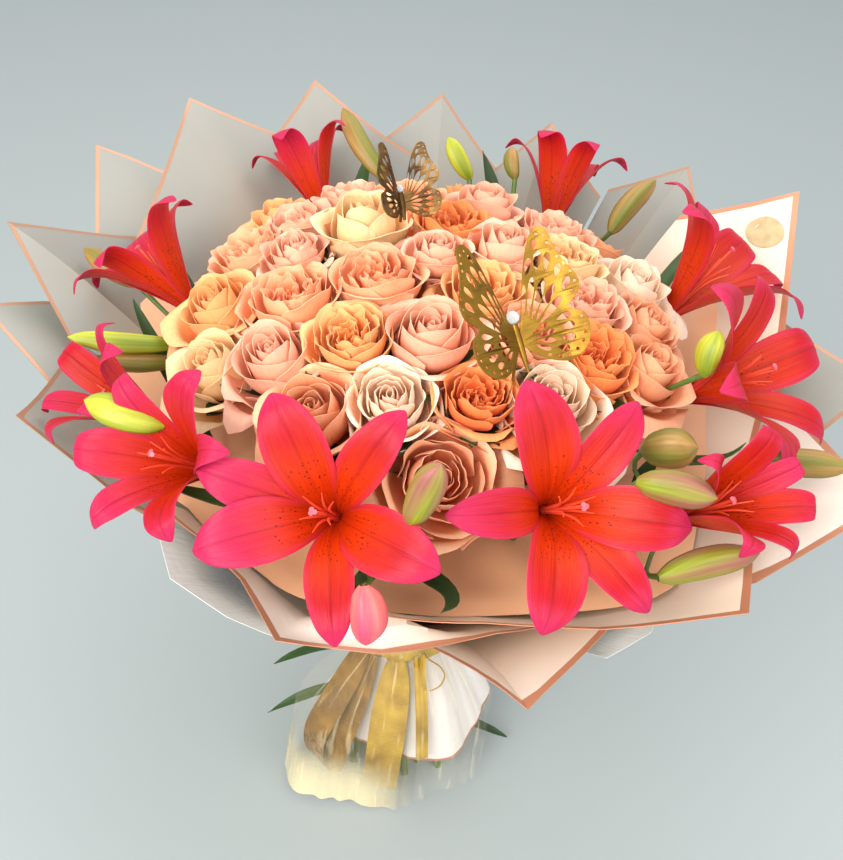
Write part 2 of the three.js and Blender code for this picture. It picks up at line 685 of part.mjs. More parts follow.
function butterflyGeometry([, place, head, right, left, scale, pickLength]) {
  const body = vec(...place);
  const ahead = vec(...head).normalize();
  const wings = [right, left].map((spread) => {
    const out = vec(...spread).addScaledVector(ahead, -vec(...spread).dot(ahead)).normalize();
    const frame = new THREE.Matrix4().makeBasis(out, ahead, out.clone().cross(ahead))
      .scale(vec(scale, scale, 1)).setPosition(body);
    return wingShape().applyMatrix4(frame);
  });
  const trunk = rod([-20, -8, 10, 16].map((t) => body.clone().addScaledVector(ahead, t * scale)), 2.2, 6);
  const pick = rod([body.clone().addScaledVector(UP, -pickLength), body], 1, 4);
  return fuse([...wings, trunk, pick]);
}

const bouquet = new THREE.Group();
function put(name, geometry, color, roughness = 0.6, metalness = 0) {
  const mesh = new THREE.Mesh(geometry, new THREE.MeshStandardMaterial({ color, roughness, metalness }));
  mesh.name = name;
  bouquet.add(mesh);
}

for (const bloom of blooms) put(bloom.name, roseGeometry(bloom), ROSE_COLOURS[bloom.colour]);
LILIES.forEach((lily, i) => {
  put(`lily_${twoDigits(i + 1)}`, lilyGeometry(lily, i), COLOURS.lily, 0.45);
});
put('stems_buds_leaves', greenGeometry(), COLOURS.green);
for (const { name, layer, flaps } of SHEETS) {
  put(name, fuse(flaps.map((rim) => flapGeometry(rim, layer))), COLOURS.paper, 0.5);
}
put('paper_frill', frillGeometry(), COLOURS.paper, 0.5);
put('clear_film', filmGeometry(), COLOURS.film, 0.1);
put('gold_ribbon', ribbonGeometry(), COLOURS.ribbon, 0.35, 0.4);
for (const butterfly of BUTTERFLIES) {
  put(butterfly[0], butterflyGeometry(butterfly), COLOURS.gold, 0.3, 0.9);
}

export default bouquet;
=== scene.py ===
"""A hand-tied bouquet of roses and lilies in folded paper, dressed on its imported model.

Blender works in metres. The tables of places below are in millimetres, as the model has them:
+Z up through the tie, the front towards -Y, the origin at the centre stem's cut end.
"""
import logging
import math
from dataclasses import dataclass
from enum import Enum
from typing import Callable, Sequence

import bpy
import numpy as np
from mathutils import Matrix, Vector


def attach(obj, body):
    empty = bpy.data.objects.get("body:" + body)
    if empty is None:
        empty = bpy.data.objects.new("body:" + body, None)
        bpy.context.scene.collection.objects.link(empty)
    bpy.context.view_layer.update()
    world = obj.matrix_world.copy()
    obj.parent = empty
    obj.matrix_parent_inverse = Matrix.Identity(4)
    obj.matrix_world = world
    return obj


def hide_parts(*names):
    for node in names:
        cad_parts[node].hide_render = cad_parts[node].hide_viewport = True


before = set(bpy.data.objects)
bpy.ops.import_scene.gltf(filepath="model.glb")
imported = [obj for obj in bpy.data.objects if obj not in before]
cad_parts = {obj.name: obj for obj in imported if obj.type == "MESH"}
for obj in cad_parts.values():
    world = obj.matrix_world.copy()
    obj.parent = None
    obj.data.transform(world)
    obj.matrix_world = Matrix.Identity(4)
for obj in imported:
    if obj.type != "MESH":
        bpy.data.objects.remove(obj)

LOG = logging.getLogger("bouquet")
MM = 0.001
Colour = tuple[float, float, float]
Place = tuple[float, float, float]
Surface = Callable[[np.ndarray, np.ndarray], np.ndarray]
Rod = tuple[np.ndarray, Sequence[float]]


# Sizes that the model's solids share

GAP = 0.3
DOME_HEIGHT, DOME_RADIUS, DOME_RISE = 425.0, 180.0, 88.0
CORE_RADIUS, CORE_LOW, CORE_HIGH = 25.0, 112.0, 188.0
TIE_LOW = 140.0
FOOT_SPREAD = 57.0
STEM_TWIST = 55.0
PAPER_START, PAPER_FOOT = 160.0, 30.0
LAYER = 1.5
FLARE, FLARE_MIDDLE, FLARE_REACH = 24.0, 145.0, 115.0
LILY_DEPTH = 34.0

# The range of a random phase, in radians
PHASES = (0, 6.28)


def srgb(red: int, green: int, blue: int) -> Colour:
    """Turn a colour as seen on a screen, 0 to 255, into linear light.

    Args:
        red: red share, 0 to 255.
        green: green share, 0 to 255.
        blue: blue share, 0 to 255.

    Returns:
        The three linear shares.
    """
    shares = [value / 255 for value in (red, green, blue)]
    return tuple(s / 12.92 if s <= 0.04045 else ((s + 0.055) / 1.055) ** 2.4 for s in shares)


# Building helpers


def polar(radius: np.ndarray | float, bearing: np.ndarray | float, height: np.ndarray | float) -> np.ndarray:
    """Places at a radius and a bearing, in radians, round the axis, one row for each."""
    return np.stack(np.broadcast_arrays(radius * np.cos(bearing), radius * np.sin(bearing), height), axis=-1)


def unit(vector: Sequence[float]) -> np.ndarray:
    """Return the vector at length one."""
    array = np.asarray(vector, float)
    return array / np.linalg.norm(array)


def frame_along(axis: Sequence[float]) -> np.ndarray:
    """Three unit rows, across, over and out, with out along the axis.

    Args:
        axis: the direction that the third row takes.

    Returns:
        A 3 by 3 array of rows.
    """
    out = unit(axis)
    across = np.cross((0, 0, 1), out)
    across = np.array((1.0, 0, 0)) if np.linalg.norm(across) < 1e-3 else unit(across)
    return np.array([across, np.cross(out, across), out])


def spoke(rows: np.ndarray, angle: float) -> np.ndarray:
    """The direction at an angle, in radians, from the first row towards the second."""
    return rows[0] * math.cos(angle) + rows[1] * math.sin(angle)


def facing(bearing: float, lift: float) -> np.ndarray:
    """The unit vector at a compass bearing and a lift above level, both in degrees."""
    turn, rise = math.radians(bearing), math.radians(lift)
    return np.array((math.cos(rise) * math.cos(turn), math.cos(rise) * math.sin(turn), math.sin(rise)))


def smooth_between(keys: Sequence[Sequence[float]], at: np.ndarray) -> np.ndarray:
    """Follow a smooth curve through keyed values.

    Args:
        keys: rows of a position in 0 to 1 followed by the values there.
        at: positions to read the curve at.

    Returns:
        One row of values for each position.
    """
    table = np.asarray(keys, float)
    where, values = table[:, 0], table[:, 1:]
    slopes = np.gradient(values, where, axis=0)
    at = np.clip(np.asarray(at, float), where[0], where[-1])
    k = np.clip(np.searchsorted(where, at, side="right") - 1, 0, len(where) - 2)
    span = (where[k + 1] - where[k])[:, None]
    t = ((at - where[k]) / (where[k + 1] - where[k]))[:, None]
    h00, h10 = 2 * t**3 - 3 * t**2 + 1, t**3 - 2 * t**2 + t
    h01, h11 = -2 * t**3 + 3 * t**2, t**3 - t**2
    return h00 * values[k] + h10 * span * slopes[k] + h01 * values[k + 1] + h11 * span * slopes[k + 1]


def deselect_all() -> None:
    """Leave no object selected, so that the next operator acts on its own piece alone."""
    for piece in bpy.context.selected_objects:
        piece.select_set(False)


def choose(*pieces: bpy.types.Object) -> None:
    """Select these pieces alone, the first as the active one.

    Args:
        pieces: the objects to select.
    """
    deselect_all()
    for piece in pieces:
        piece.select_set(True)
    bpy.context.view_layer.objects.active = pieces[0]


def rename(piece: bpy.types.Object, name: str) -> None:
    """Give an object and its data one name."""
    piece.name = piece.data.name = name


def points_of(piece: bpy.types.Object) -> np.ndarray:
    """The piece's points, one row each.

    Args:
        piece: the mesh object.

    Returns:
        The points' places in metres.
    """
    flat = np.empty(len(piece.data.vertices) * 3)
    piece.data.vertices.foreach_get("co", flat)
    return flat.reshape(-1, 3)


def set_points(piece: bpy.types.Object, points: np.ndarray) -> None:
    """Move the piece's points to these rows."""
    piece.data.vertices.foreach_set("co", np.ascontiguousarray(points, np.float32).ravel())
    piece.data.update()


def laid_sheet(name: str, columns: int, rows: int, surface: Surface) -> bpy.types.Object:
    """Add a flat grid and lay it on a surface.

    Args:
        name: the new piece's name.
        columns: cells across.
        rows: cells along.
        surface: gives places in millimetres from across (-1 to 1) and along (0 to 1).

    Returns:
        The grid object, with its UV map running across and along.
    """
    deselect_all()
    bpy.ops.mesh.primitive_grid_add(x_subdivisions=columns, y_subdivisions=rows, size=2)
    piece = bpy.context.active_object
    rename(piece, name)
    flat = points_of(piece)
    set_points(piece, surface(flat[:, 0], (flat[:, 1] + 1) / 2) * MM)
    return piece


def laid_tube(name: str, columns: int, rows: int, surface: Surface) -> bpy.types.Object:
    """Lay a grid on a surface that closes on itself, and merge what meets.

    Args:
        name: the new piece's name.
        columns: cells round the tube.
        rows: cells along it.
        surface: gives the same places in millimetres at -1 and 1 across.

    Returns:
        The closed piece.
    """
    piece = laid_sheet(name, columns, rows, surface)
    choose(piece)
    bpy.ops.object.mode_set(mode="EDIT")
    bpy.ops.mesh.select_all(action="SELECT")
    bpy.ops.mesh.remove_doubles(threshold=0.02 * MM)
    bpy.ops.mesh.normals_make_consistent(inside=False)
    bpy.ops.object.mode_set(mode="OBJECT")
    return piece


def mark(piece: bpy.types.Object, layer: str, first: np.ndarray | float, second: np.ndarray | float) -> None:
    """Keep two numbers for each point in a UV layer of their own.

    Args:
        piece: the mesh object.
        layer: name of the UV layer.
        first: the number kept as U, for each point or for all.
        second: the number kept as V, for each point or for all.
    """
    mesh = piece.data
    uv = mesh.uv_layers.get(layer) or mesh.uv_layers.new(name=layer, do_init=False)
    corners = np.empty(len(mesh.loops), np.int32)
    mesh.loops.foreach_get("vertex_index", corners)
    both = np.empty((len(mesh.loops), 2), np.float32)
    both[:, 0] = np.broadcast_to(first, len(mesh.vertices))[corners]
    both[:, 1] = np.broadcast_to(second, len(mesh.vertices))[corners]
    uv.uv.foreach_set("vector", both.ravel())


def finish_with(piece: bpy.types.Object, kind: str, **settings: object) -> None:
    """Add a modifier of a kind with its settings, and apply it.

    Args:
        piece: the mesh object.
        kind: the modifier's type.
        settings: the modifier's properties.
    """
    choose(piece)
    modifier = piece.modifiers.new(kind.title(), kind)
    for key, value in settings.items():
        setattr(modifier, key, value)
    bpy.ops.object.modifier_apply(modifier=modifier.name)


def soften(piece: bpy.types.Object, degrees: float) -> None:
    """Shade a piece smooth except across sharp edges."""
    choose(piece)
    bpy.ops.object.shade_smooth_by_angle(angle=math.radians(degrees))


def thicken(piece: bpy.types.Object, millimetres: float, levels: int = 0, degrees: float = 60.0) -> None:
    """Give a sheet its thickness to both sides, and shade it smooth except across sharp edges.

    Args:
        piece: the sheet.
        millimetres: its thickness.
        levels: times that it is subdivided before it is shaded.
        degrees: the angle from which an edge is sharp.
    """
    finish_with(piece, "SOLIDIFY", thickness=millimetres * MM, offset=0.0)
    if levels:
        finish_with(piece, "SUBSURF", levels=levels, render_levels=levels)
    soften(piece, degrees)


def join(name: str, pieces: Sequence[bpy.types.Object]) -> bpy.types.Object:
    """Join pieces into the first one under a new name.

    Args:
        name: the joined piece's name.
        pieces: the pieces, of which the first one stays.

    Returns:
        The joined piece.
    """
    if len(pieces) > 1:
        choose(*pieces)
        bpy.ops.object.join()
    rename(pieces[0], name)
    return pieces[0]


def copied(name: str, pattern: bpy.types.Object,
           places: Callable[[np.ndarray], np.ndarray]) -> bpy.types.Object:
    """Copy a pattern with its own mesh, and move the copy's points.

    Args:
        name: the copy's name.
        pattern: the piece that was modelled once.
        places: gives new places in metres from the pattern's points in millimetres.

    Returns:
        The copy.
    """
    piece = pattern.copy()
    piece.data = pattern.data.copy()
    rename(piece, name)
    bpy.context.scene.collection.objects.link(piece)
    set_points(piece, places(points_of(pattern) / MM))
    return piece


def curve_mesh(name: str, curve: bpy.types.Curve) -> bpy.types.Object:
    """Put a curve in the scene under a name, and turn it into a mesh.

    Args:
        name: the new piece's name.
        curve: the curve's data.

    Returns:
        The mesh object.
    """
    piece = bpy.data.objects.new(name, curve)
    bpy.context.scene.collection.objects.link(piece)
    choose(piece)
    bpy.ops.object.convert(target="MESH")
    return bpy.context.active_object


def rods(name: str, paths: Sequence[Rod], smooth: int = 3) -> bpy.types.Object:
    """Make round rods along paths, as one mesh.

    Args:
        name: the new piece's name.
        paths: for each rod its points in millimetres and its radius at each.
        smooth: steps between two points of a path.

    Returns:
        The mesh object.
    """
    curve = bpy.data.curves.new(name, "CURVE")
    curve.dimensions = "3D"
    curve.bevel_depth = MM
    curve.bevel_resolution = 2
    curve.use_fill_caps = True
    for points, radii in paths:
        share = np.linspace(0, 1, len(points))
        count = (len(points) - 1) * smooth + 1
        at = np.linspace(0, 1, count)
        keys = np.column_stack([share, points, radii])
        rows = smooth_between(keys, at) if len(points) > 2 else np.column_stack(
            [np.interp(at, share, keys[:, i]) for i in range(1, 5)])
        spline = curve.splines.new("POLY")
        spline.points.add(count - 1)
        for point, (x, y, z, radius) in zip(spline.points, rows):
            point.co = (x * MM, y * MM, z * MM, 1)
            point.radius = radius
    return curve_mesh(name, curve)


def dress(piece: bpy.types.Object, finish: "Finish", slot: str, *stands_for: str) -> bpy.types.Object:
    """Give a finished piece its material, its body and the nodes that it stands for.

    Args:
        piece: the finished piece.
        finish: the finish whose material it wears.
        slot: the record's material slot.
        stands_for: the model's nodes that it replaces.

    Returns:
        The same piece.
    """
    piece.data.materials.clear()
    piece.data.materials.append(finish.material())
    return keep(piece, slot, *stands_for)


def keep(piece: bpy.types.Object, slot: str, *stands_for: str) -> bpy.types.Object:
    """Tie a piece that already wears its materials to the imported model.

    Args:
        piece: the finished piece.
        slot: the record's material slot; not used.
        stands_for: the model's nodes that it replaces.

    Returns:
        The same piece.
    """
    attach(piece, "root")
    if stands_for:
        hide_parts(*stands_for)
    LOG.info("%s: %d points", piece.name, len(piece.data.vertices))
    return piece


# Shader node groups and finishes

Socket = bpy.types.NodeSocket
PLAIN_GREY = (0.5, 0.5, 0.5)


class Nodes:
    """Short hands for building a node tree."""

    def __init__(self, tree: bpy.types.NodeTree) -> None:
        """Keep the tree that nodes are added to."""
        self.tree = tree

    def add(self, kind: str, links: dict | None = None, **settings: object) -> bpy.types.Node:
        """Add a node, set its properties, and fill its inputs.

        Args:
            kind: the node type without its ShaderNode prefix.
            links: input name or number to a value or to another node's output.
            settings: properties of the node.

        Returns:
            The new node.
        """
        node = self.tree.nodes.new(kind if kind.startswith("NodeGroup") else "ShaderNode" + kind)
        for key, value in settings.items():
            setattr(node, key, value)
        for key, value in (links or {}).items():
            socket = node.inputs[key]
            if isinstance(value, Socket):
                self.tree.links.new(value, socket)
            elif isinstance(value, tuple) and len(value) == 3 and socket.type == "RGBA":
                socket.default_value = (*value, 1)
            else:
                socket.default_value = value
        return node

    def math(self, operation: str, *values: object) -> Socket:
        """Add a Math node and return its result."""
        return self.add("Math", dict(enumerate(values)), operation=operation).outputs[0]

    def times(self, first: object, second: object) -> Socket:
        """Multiply two values."""
        return self.math("MULTIPLY", first, second)

    def plus(self, first: object, second: object) -> Socket:
        """Add two values."""
        return self.math("ADD", first, second)

    def less(self, first: object, second: object) -> Socket:
        """Take the second value from the first."""
        return self.math("SUBTRACT", first, second)

    def ranged(self, value: object, low: float, high: float, least: float, most: float) -> Socket:
        """Turn low to high into least to most, and cut off what lies outside."""
        return self.add("MapRange", {0: value, 1: low, 2: high, 3: least, 4: most}).outputs[0]

    def noise(self, across: object, along: object, third: object, detail: float,
              scale: float = 1.0) -> Socket:
        """Read a noise at a place given by its three numbers."""
        place = self.add("CombineXYZ", {0: across, 1: along, 2: third}).outputs[0]
        return self.add("TexNoise", {"Vector": place, "Scale": scale, "Detail": detail}).outputs[0]

    def shaded(self, colour: object, shade: object) -> Socket:
        """Multiply a colour by a shade of grey."""
        grey = self.add("CombineColor", {0: shade, 1: shade, 2: shade}).outputs[0]
        return self.mix(1.0, colour, grey, "MULTIPLY")

    def from_middle(self, across: object) -> Socket:
        """Distance from the middle of a width of 1."""
        return self.math("ABSOLUTE", self.less(across, 0.5))

    def grain(self, coarse: float = 40.0, fine: float = 400.0) -> tuple[Socket, Socket]:
        """Place the fine grain group, and return its shade and its height."""
        group = self.add("Group", {"Coarse": coarse, "Fine": fine}, node_tree=fine_grain())
        return group.outputs["Shade"], group.outputs["Height"]

    def mix(self, share: object, first: object, second: object, blend: str = "MIX") -> Socket:
        """Mix two colours and return the result."""
        node = self.add("Mix", {0: share, 6: first, 7: second}, data_type="RGBA", blend_type=blend)
        return node.outputs[2]

    def step(self, value: object, low: float, high: float) -> Socket:
        """Rise smoothly from 0 at low to 1 at high."""
        node = self.add("MapRange", {0: value, 1: low, 2: high}, interpolation_type="SMOOTHSTEP")
        return node.outputs[0]

    def uv(self, layer: str) -> tuple[Socket, Socket]:
        """Read the two numbers of a UV layer.

        Args:
            layer: name of the UV layer.

        Returns:
            The sockets of its U and its V.
        """
        at = self.add("UVMap", uv_map=layer)
        split = self.add("SeparateXYZ", {0: at.outputs[0]})
        return split.outputs[0], split.outputs[1]


def shader_group(name: str, inputs: dict[str, object], outputs: Sequence[str],
                 build: Callable[[Nodes, dict], dict]) -> bpy.types.NodeTree:
    """Build a shader node group once, with named sockets.

    Args:
        name: the group's name.
        inputs: socket name to its default, a colour or a number.
        outputs: socket names; Color is a colour and the others are numbers.
        build: adds the nodes, from the inputs' sockets to a value for each output.

    Returns:
        The group.
    """
    if name in bpy.data.node_groups:
        return bpy.data.node_groups[name]
    tree = bpy.data.node_groups.new(name, "ShaderNodeTree")
    for label, default in inputs.items():
        kind = "NodeSocketColor" if isinstance(default, tuple) else "NodeSocketFloat"
        socket = tree.interface.new_socket(label, in_out="INPUT", socket_type=kind)
        socket.default_value = (*default, 1) if isinstance(default, tuple) else default
    for label in outputs:
        kind = "NodeSocketColor" if label.startswith("Color") else "NodeSocketFloat"
        tree.interface.new_socket(label, in_out="OUTPUT", socket_type=kind)
    nodes = Nodes(tree)
    given = nodes.add("NodeGroupInput")
    made = build(nodes, {label: given.outputs[label] for label in inputs})
    nodes.add("NodeGroupOutput", made)
    return tree


def petal_shading() -> bpy.types.NodeTree:
    """Colour of a petal from foot to rim, and its fine lengthwise veins.

    Returns:
        The group.
    """

    def build(n: Nodes, given: dict) -> dict:
        """Add the nodes.

        Args:
            n: the group's nodes.
            given: the group's inputs by name.

        Returns:
            A value for each output by name.
        """
        across, along = n.uv("UVMap")
        ring, tone = n.uv("petal")
        # The petals' foot and the heart rows take deeper, darker tints: the rose's own deeper colour there,
        # with painted shade deep in the bloom.
        body = n.mix(n.step(along, 0.1, 0.75), given["Foot"], given["Body"])
        inner = n.mix(n.step(along, 0.1, 0.8), given["Heart foot"], given["Heart"])
        body = n.mix(n.step(ring, 0.3, 1.0), body, inner)
        flank = n.times(n.step(n.from_middle(across), 0.3, 0.5), 0.7)
        edge = n.math("MAXIMUM", n.step(along, 0.5, 1.0), flank)
        body = n.mix(n.times(edge, 0.45), body, given["Rim"])
        veins = n.noise(n.times(across, 60.0), n.times(along, 3.0), n.times(tone, 37.0), detail=2.0)
        shade = n.times(n.ranged(veins, 0.3, 0.7, 0.94, 1.04), n.ranged(tone, 0.0, 1.0, 0.92, 1.06))
        return {"Color": n.shaded(body, shade), "Height": veins}

    tints = dict.fromkeys(("Foot", "Body", "Rim", "Heart", "Heart foot"), PLAIN_GREY)
    return shader_group("petal_shading", tints, ("Color", "Height"), build)


def fine_grain() -> bpy.types.NodeTree:
    """Fine uneven grain from the piece's own places: a shade and a height.

    Returns:
        The group.
    """

    def build(n: Nodes, given: dict) -> dict:
        """Add the nodes.

        Args:
            n: the group's nodes.
            given: the group's inputs by name.

        Returns:
            A value for each output by name.
        """
        at = n.add("TexCoord").outputs["Object"]
        coarse = n.add("TexNoise", {"Vector": at, "Scale": given["Coarse"], "Detail": 3.0}).outputs[0]
        fine = n.add("TexNoise", {"Vector": at, "Scale": given["Fine"], "Detail": 2.0}).outputs[0]
        both = n.plus(n.times(coarse, 0.6), n.times(fine, 0.4))
        return {"Shade": n.ranged(coarse, 0.3, 0.7, 0.0, 1.0), "Height": both}

    return shader_group("fine_grain", {"Coarse": 40.0, "Fine": 400.0}, ("Shade", "Height"), build)


@dataclass(frozen=True)
class Finish:
    """A finish whose material is made once, under its own name."""

    name: str

    def material(self) -> bpy.types.Material:
        """Return the finish's material, made on the first call.

        Returns:
            The material.
        """
        label = self.name + "_finish"
        if label in bpy.data.materials:
            return bpy.data.materials[label]
        material = bpy.data.materials.new(label)
        material.use_nodes = True
        nodes = Nodes(material.node_tree)
        shader = material.node_tree.nodes["Principled BSDF"]
        self.paint(nodes, shader)
        return material

    def paint(self, n: Nodes, shader: bpy.types.Node) -> None:
        """Fill the shader's inputs."""
        raise NotImplementedError

    @staticmethod
    def connect(n: Nodes, shader: bpy.types.Node, **inputs: object) -> None:
        """Set or link shader inputs, with underscores for the spaces of their names.

        Args:
            n: the material's nodes.
            shader: the shader whose inputs are filled.
            inputs: a value or a socket for each input.
        """
        for key, value in inputs.items():
            socket = shader.inputs[key.replace("_", " ")]
            if isinstance(value, Socket):
                n.tree.links.new(value, socket)
            elif isinstance(value, tuple) and socket.type == "RGBA":
                socket.default_value = (*value, 1)
            else:
                socket.default_value = value

    @staticmethod
    def bump(n: Nodes, height: object, distance: float, strength: float) -> Socket:
        """Turn a height into a normal, the distance in metres."""
        return n.add("Bump", {"Height": height, "Distance": distance, "Strength": strength}).outputs[0]


@dataclass(frozen=True)
class RosePetal(Finish):
    """Velvety rose petal, from its foot to its rolled rim."""

    foot: Colour
    body: Colour
    rim: Colour
    heart: Colour
    heart_foot: Colour
    alike: str = ""

    @property
    def slot(self) -> str:
        """The record's material slot: the finish's own name, or that of the one it is alike to."""
        return self.alike or self.name

    def paint(self, n: Nodes, shader: bpy.types.Node) -> None:
        """Fill the shader's inputs.

        Args:
            n: the material's nodes.
            shader: the material's Principled BSDF.
        """
        tint = n.add("Group", node_tree=petal_shading())
        for label, value in (("Foot", self.foot), ("Body", self.body), ("Rim", self.rim),
                             ("Heart", self.heart), ("Heart foot", self.heart_foot)):
            tint.inputs[label].default_value = (*value, 1)
        self.connect(n, shader, Base_Color=tint.outputs["Color"], Roughness=0.55, Specular_IOR_Level=0.35,
                     Sheen_Weight=0.05, Sheen_Roughness=0.5, Subsurface_Weight=0.15,
                     Subsurface_Radius=(0.006, 0.0025, 0.0012), Subsurface_Scale=1.0,
                     Normal=self.bump(n, tint.outputs["Height"], 0.0003, 0.5))


@dataclass(frozen=True)
class LilyPetal(Finish):
    """Glossy lily petal: orange red at the foot, pink at the tip, spotted in the throat."""

    foot: Colour
    body: Colour
    tip: Colour
    spot: Colour

    def paint(self, n: Nodes, shader: bpy.types.Node) -> None:
        """Fill the shader's inputs.

        Args:
            n: the material's nodes.
            shader: the material's Principled BSDF.
        """
        across, along = n.uv("UVMap")
        _, tone = n.uv("petal")
        side = n.from_middle(across)
        warp = n.noise(across, along, tone, detail=2.0, scale=6.0)
        reach = n.plus(along, n.times(n.less(warp, 0.5), 0.25))
        colour = n.mix(n.step(reach, 0.34, 0.74), self.foot, self.body)
        pinker = n.times(n.step(tone, 0.45, 1.0), n.step(along, 0.2, 0.8))
        for share in (n.step(reach, 0.66, 1.02), n.times(n.step(side, 0.3, 0.5), 0.45), n.times(pinker, 0.7)):
            colour = n.mix(share, colour, self.tip)
        veins = n.noise(n.times(across, 46.0), n.times(along, 2.2), n.times(tone, 9.0), detail=3.0)
        rib = n.step(side, 0.035, 0.0)
        # The midrib groove is painted darker: painted shade in the groove.
        shade = n.times(n.ranged(veins, 0.32, 0.68, 0.8, 1.1), n.less(1.0, n.times(rib, 0.22)))
        colour = n.shaded(colour, shade)
        place = {0: n.times(across, 13.0), 1: n.times(along, 34.0), 2: n.times(tone, 5.0)}
        cells = n.add("TexVoronoi", {"Vector": n.add("CombineXYZ", place).outputs[0], "Scale": 1.0,
                                     "Randomness": 0.8}).outputs["Distance"]
        zone = n.times(n.times(n.step(along, 0.1, 0.2), n.step(along, 0.5, 0.4)), n.step(side, 0.36, 0.24))
        spots = n.times(n.step(cells, 0.26, 0.14), zone)
        colour = n.mix(n.times(spots, 0.9), colour, self.spot)
        ridges = n.plus(veins, n.times(rib, -0.6))
        self.connect(n, shader, Base_Color=colour, Roughness=0.42, Specular_IOR_Level=0.2, Coat_Weight=0.03,
                     Coat_Roughness=0.3, Subsurface_Weight=0.12, Subsurface_Radius=(0.006, 0.0015, 0.0012),
                     Subsurface_Scale=1.0, Normal=self.bump(n, ridges, 0.0006, 0.6))


@dataclass(frozen=True)
class TintedSkin(Finish):
    """A plant skin coloured point by point between two tints, with fine grain."""

    first: Colour
    second: Colour

    def paint(self, n: Nodes, shader: bpy.types.Node) -> None:
        """Fill the shader's inputs.

        Args:
            n: the material's nodes.
            shader: the material's Principled BSDF.
        """
        share, streak = n.uv("petal")
        across, along = n.uv("UVMap")
        patches, height = n.grain()
        line = n.noise(n.times(across, 30.0), n.times(along, 1.5), streak, detail=2.0)
        colour = n.mix(share, self.first, self.second)
        colour = n.mix(n.times(patches, 0.15), colour, self.first)
        colour = n.shaded(colour, n.ranged(line, 0.3, 0.7, 0.8, 1.12))
        self.connect(n, shader, Base_Color=colour, Roughness=0.45, Specular_IOR_Level=0.4,
                     Subsurface_Weight=0.08, Subsurface_Radius=(0.002, 0.003, 0.001), Subsurface_Scale=1.0,
                     Normal=self.bump(n, n.plus(line, height), 0.0003, 0.5))


@dataclass(frozen=True)
class WrapPaper(Finish):
    """Smooth wrapping paper, painted darker and warmer in towards the tie as shade, with a metallic border
    along its rim.
    """

    rim: Colour
    shade_and_patches: Colour
    border: Colour
    border_width: float
    opacity: float = 1.0

    def paint(self, n: Nodes, shader: bpy.types.Node) -> None:
        """Fill the shader's inputs.

        Args:
            n: the material's nodes.
            shader: the material's Principled BSDF.
        """
        edge, depth = n.uv("edge")
        patches, height = n.grain(9.0, 900.0)
        # Painted shade: a darker, warmer tint from the rim in towards the tie; faint grain patches take the
        # same tint.
        colour = n.mix(n.step(depth, 0.1, 0.9), self.shade_and_patches, self.rim)
        colour = n.mix(n.times(patches, 0.12), colour, self.shade_and_patches)
        band = n.step(edge, self.border_width + 0.0006, self.border_width)
        colour = n.mix(band, colour, self.border)
        self.connect(n, shader, Base_Color=colour, Metallic=n.times(band, 0.35),
                     Roughness=n.ranged(band, 0.0, 1.0, 0.42, 0.3), Specular_IOR_Level=0.45,
                     Alpha=n.math("MAXIMUM", band, self.opacity), Subsurface_Weight=0.12,
                     Subsurface_Radius=(0.01, 0.007, 0.004), Subsurface_Scale=1.0,
                     Normal=self.bump(n, height, 0.0004, 0.35))


@dataclass(frozen=True)
class Frosted(Finish):
    """Clear film, a little milky, with soft wrinkles, painted highlight streaks, and corners painted grey as
    shade that pales to a painted highlight at their rim.
    """

    tint: Colour
    shade: Colour
    pale: Colour
    alpha: float

    def paint(self, n: Nodes, shader: bpy.types.Node) -> None:
        """Fill the shader's inputs.

        Args:
            n: the material's nodes.
            shader: the material's Principled BSDF.
        """
        _, wrinkles = n.grain(30.0, 120.0)
        across, along = n.uv("UVMap")
        streak = n.noise(n.times(across, 42.0), n.times(along, 3.0), 0.0, detail=2.0)
        _, depth = n.uv("edge")
        place = n.add("SeparateXYZ", {0: n.add("TexCoord").outputs["Object"]}).outputs
        left = n.times(n.step(place[0], 0.02, -0.03), n.step(along, 0.55, 0.95))
        # Thin streaks of extra opacity in the film's tint are painted highlights.
        milk_and_highlights = n.plus(n.times(n.step(streak, 0.56, 0.7), 0.12), self.alpha)
        for share in (left, n.step(depth, 0.0, 0.3)):
            milk_and_highlights = n.plus(milk_and_highlights, n.times(share, 0.6))
        # Painted shade on the corners: grey, paling to a painted highlight near their rim.
        corner = n.mix(n.step(depth, 0.45, 0.95), self.shade, self.pale)
        tint = n.mix(n.step(depth, 0.0, 0.05), self.tint, corner)
        self.connect(n, shader, Base_Color=tint, Roughness=0.14, Specular_IOR_Level=0.4, Alpha=milk_and_highlights,
                     Normal=self.bump(n, n.plus(wrinkles, streak), 0.0016, 0.3))


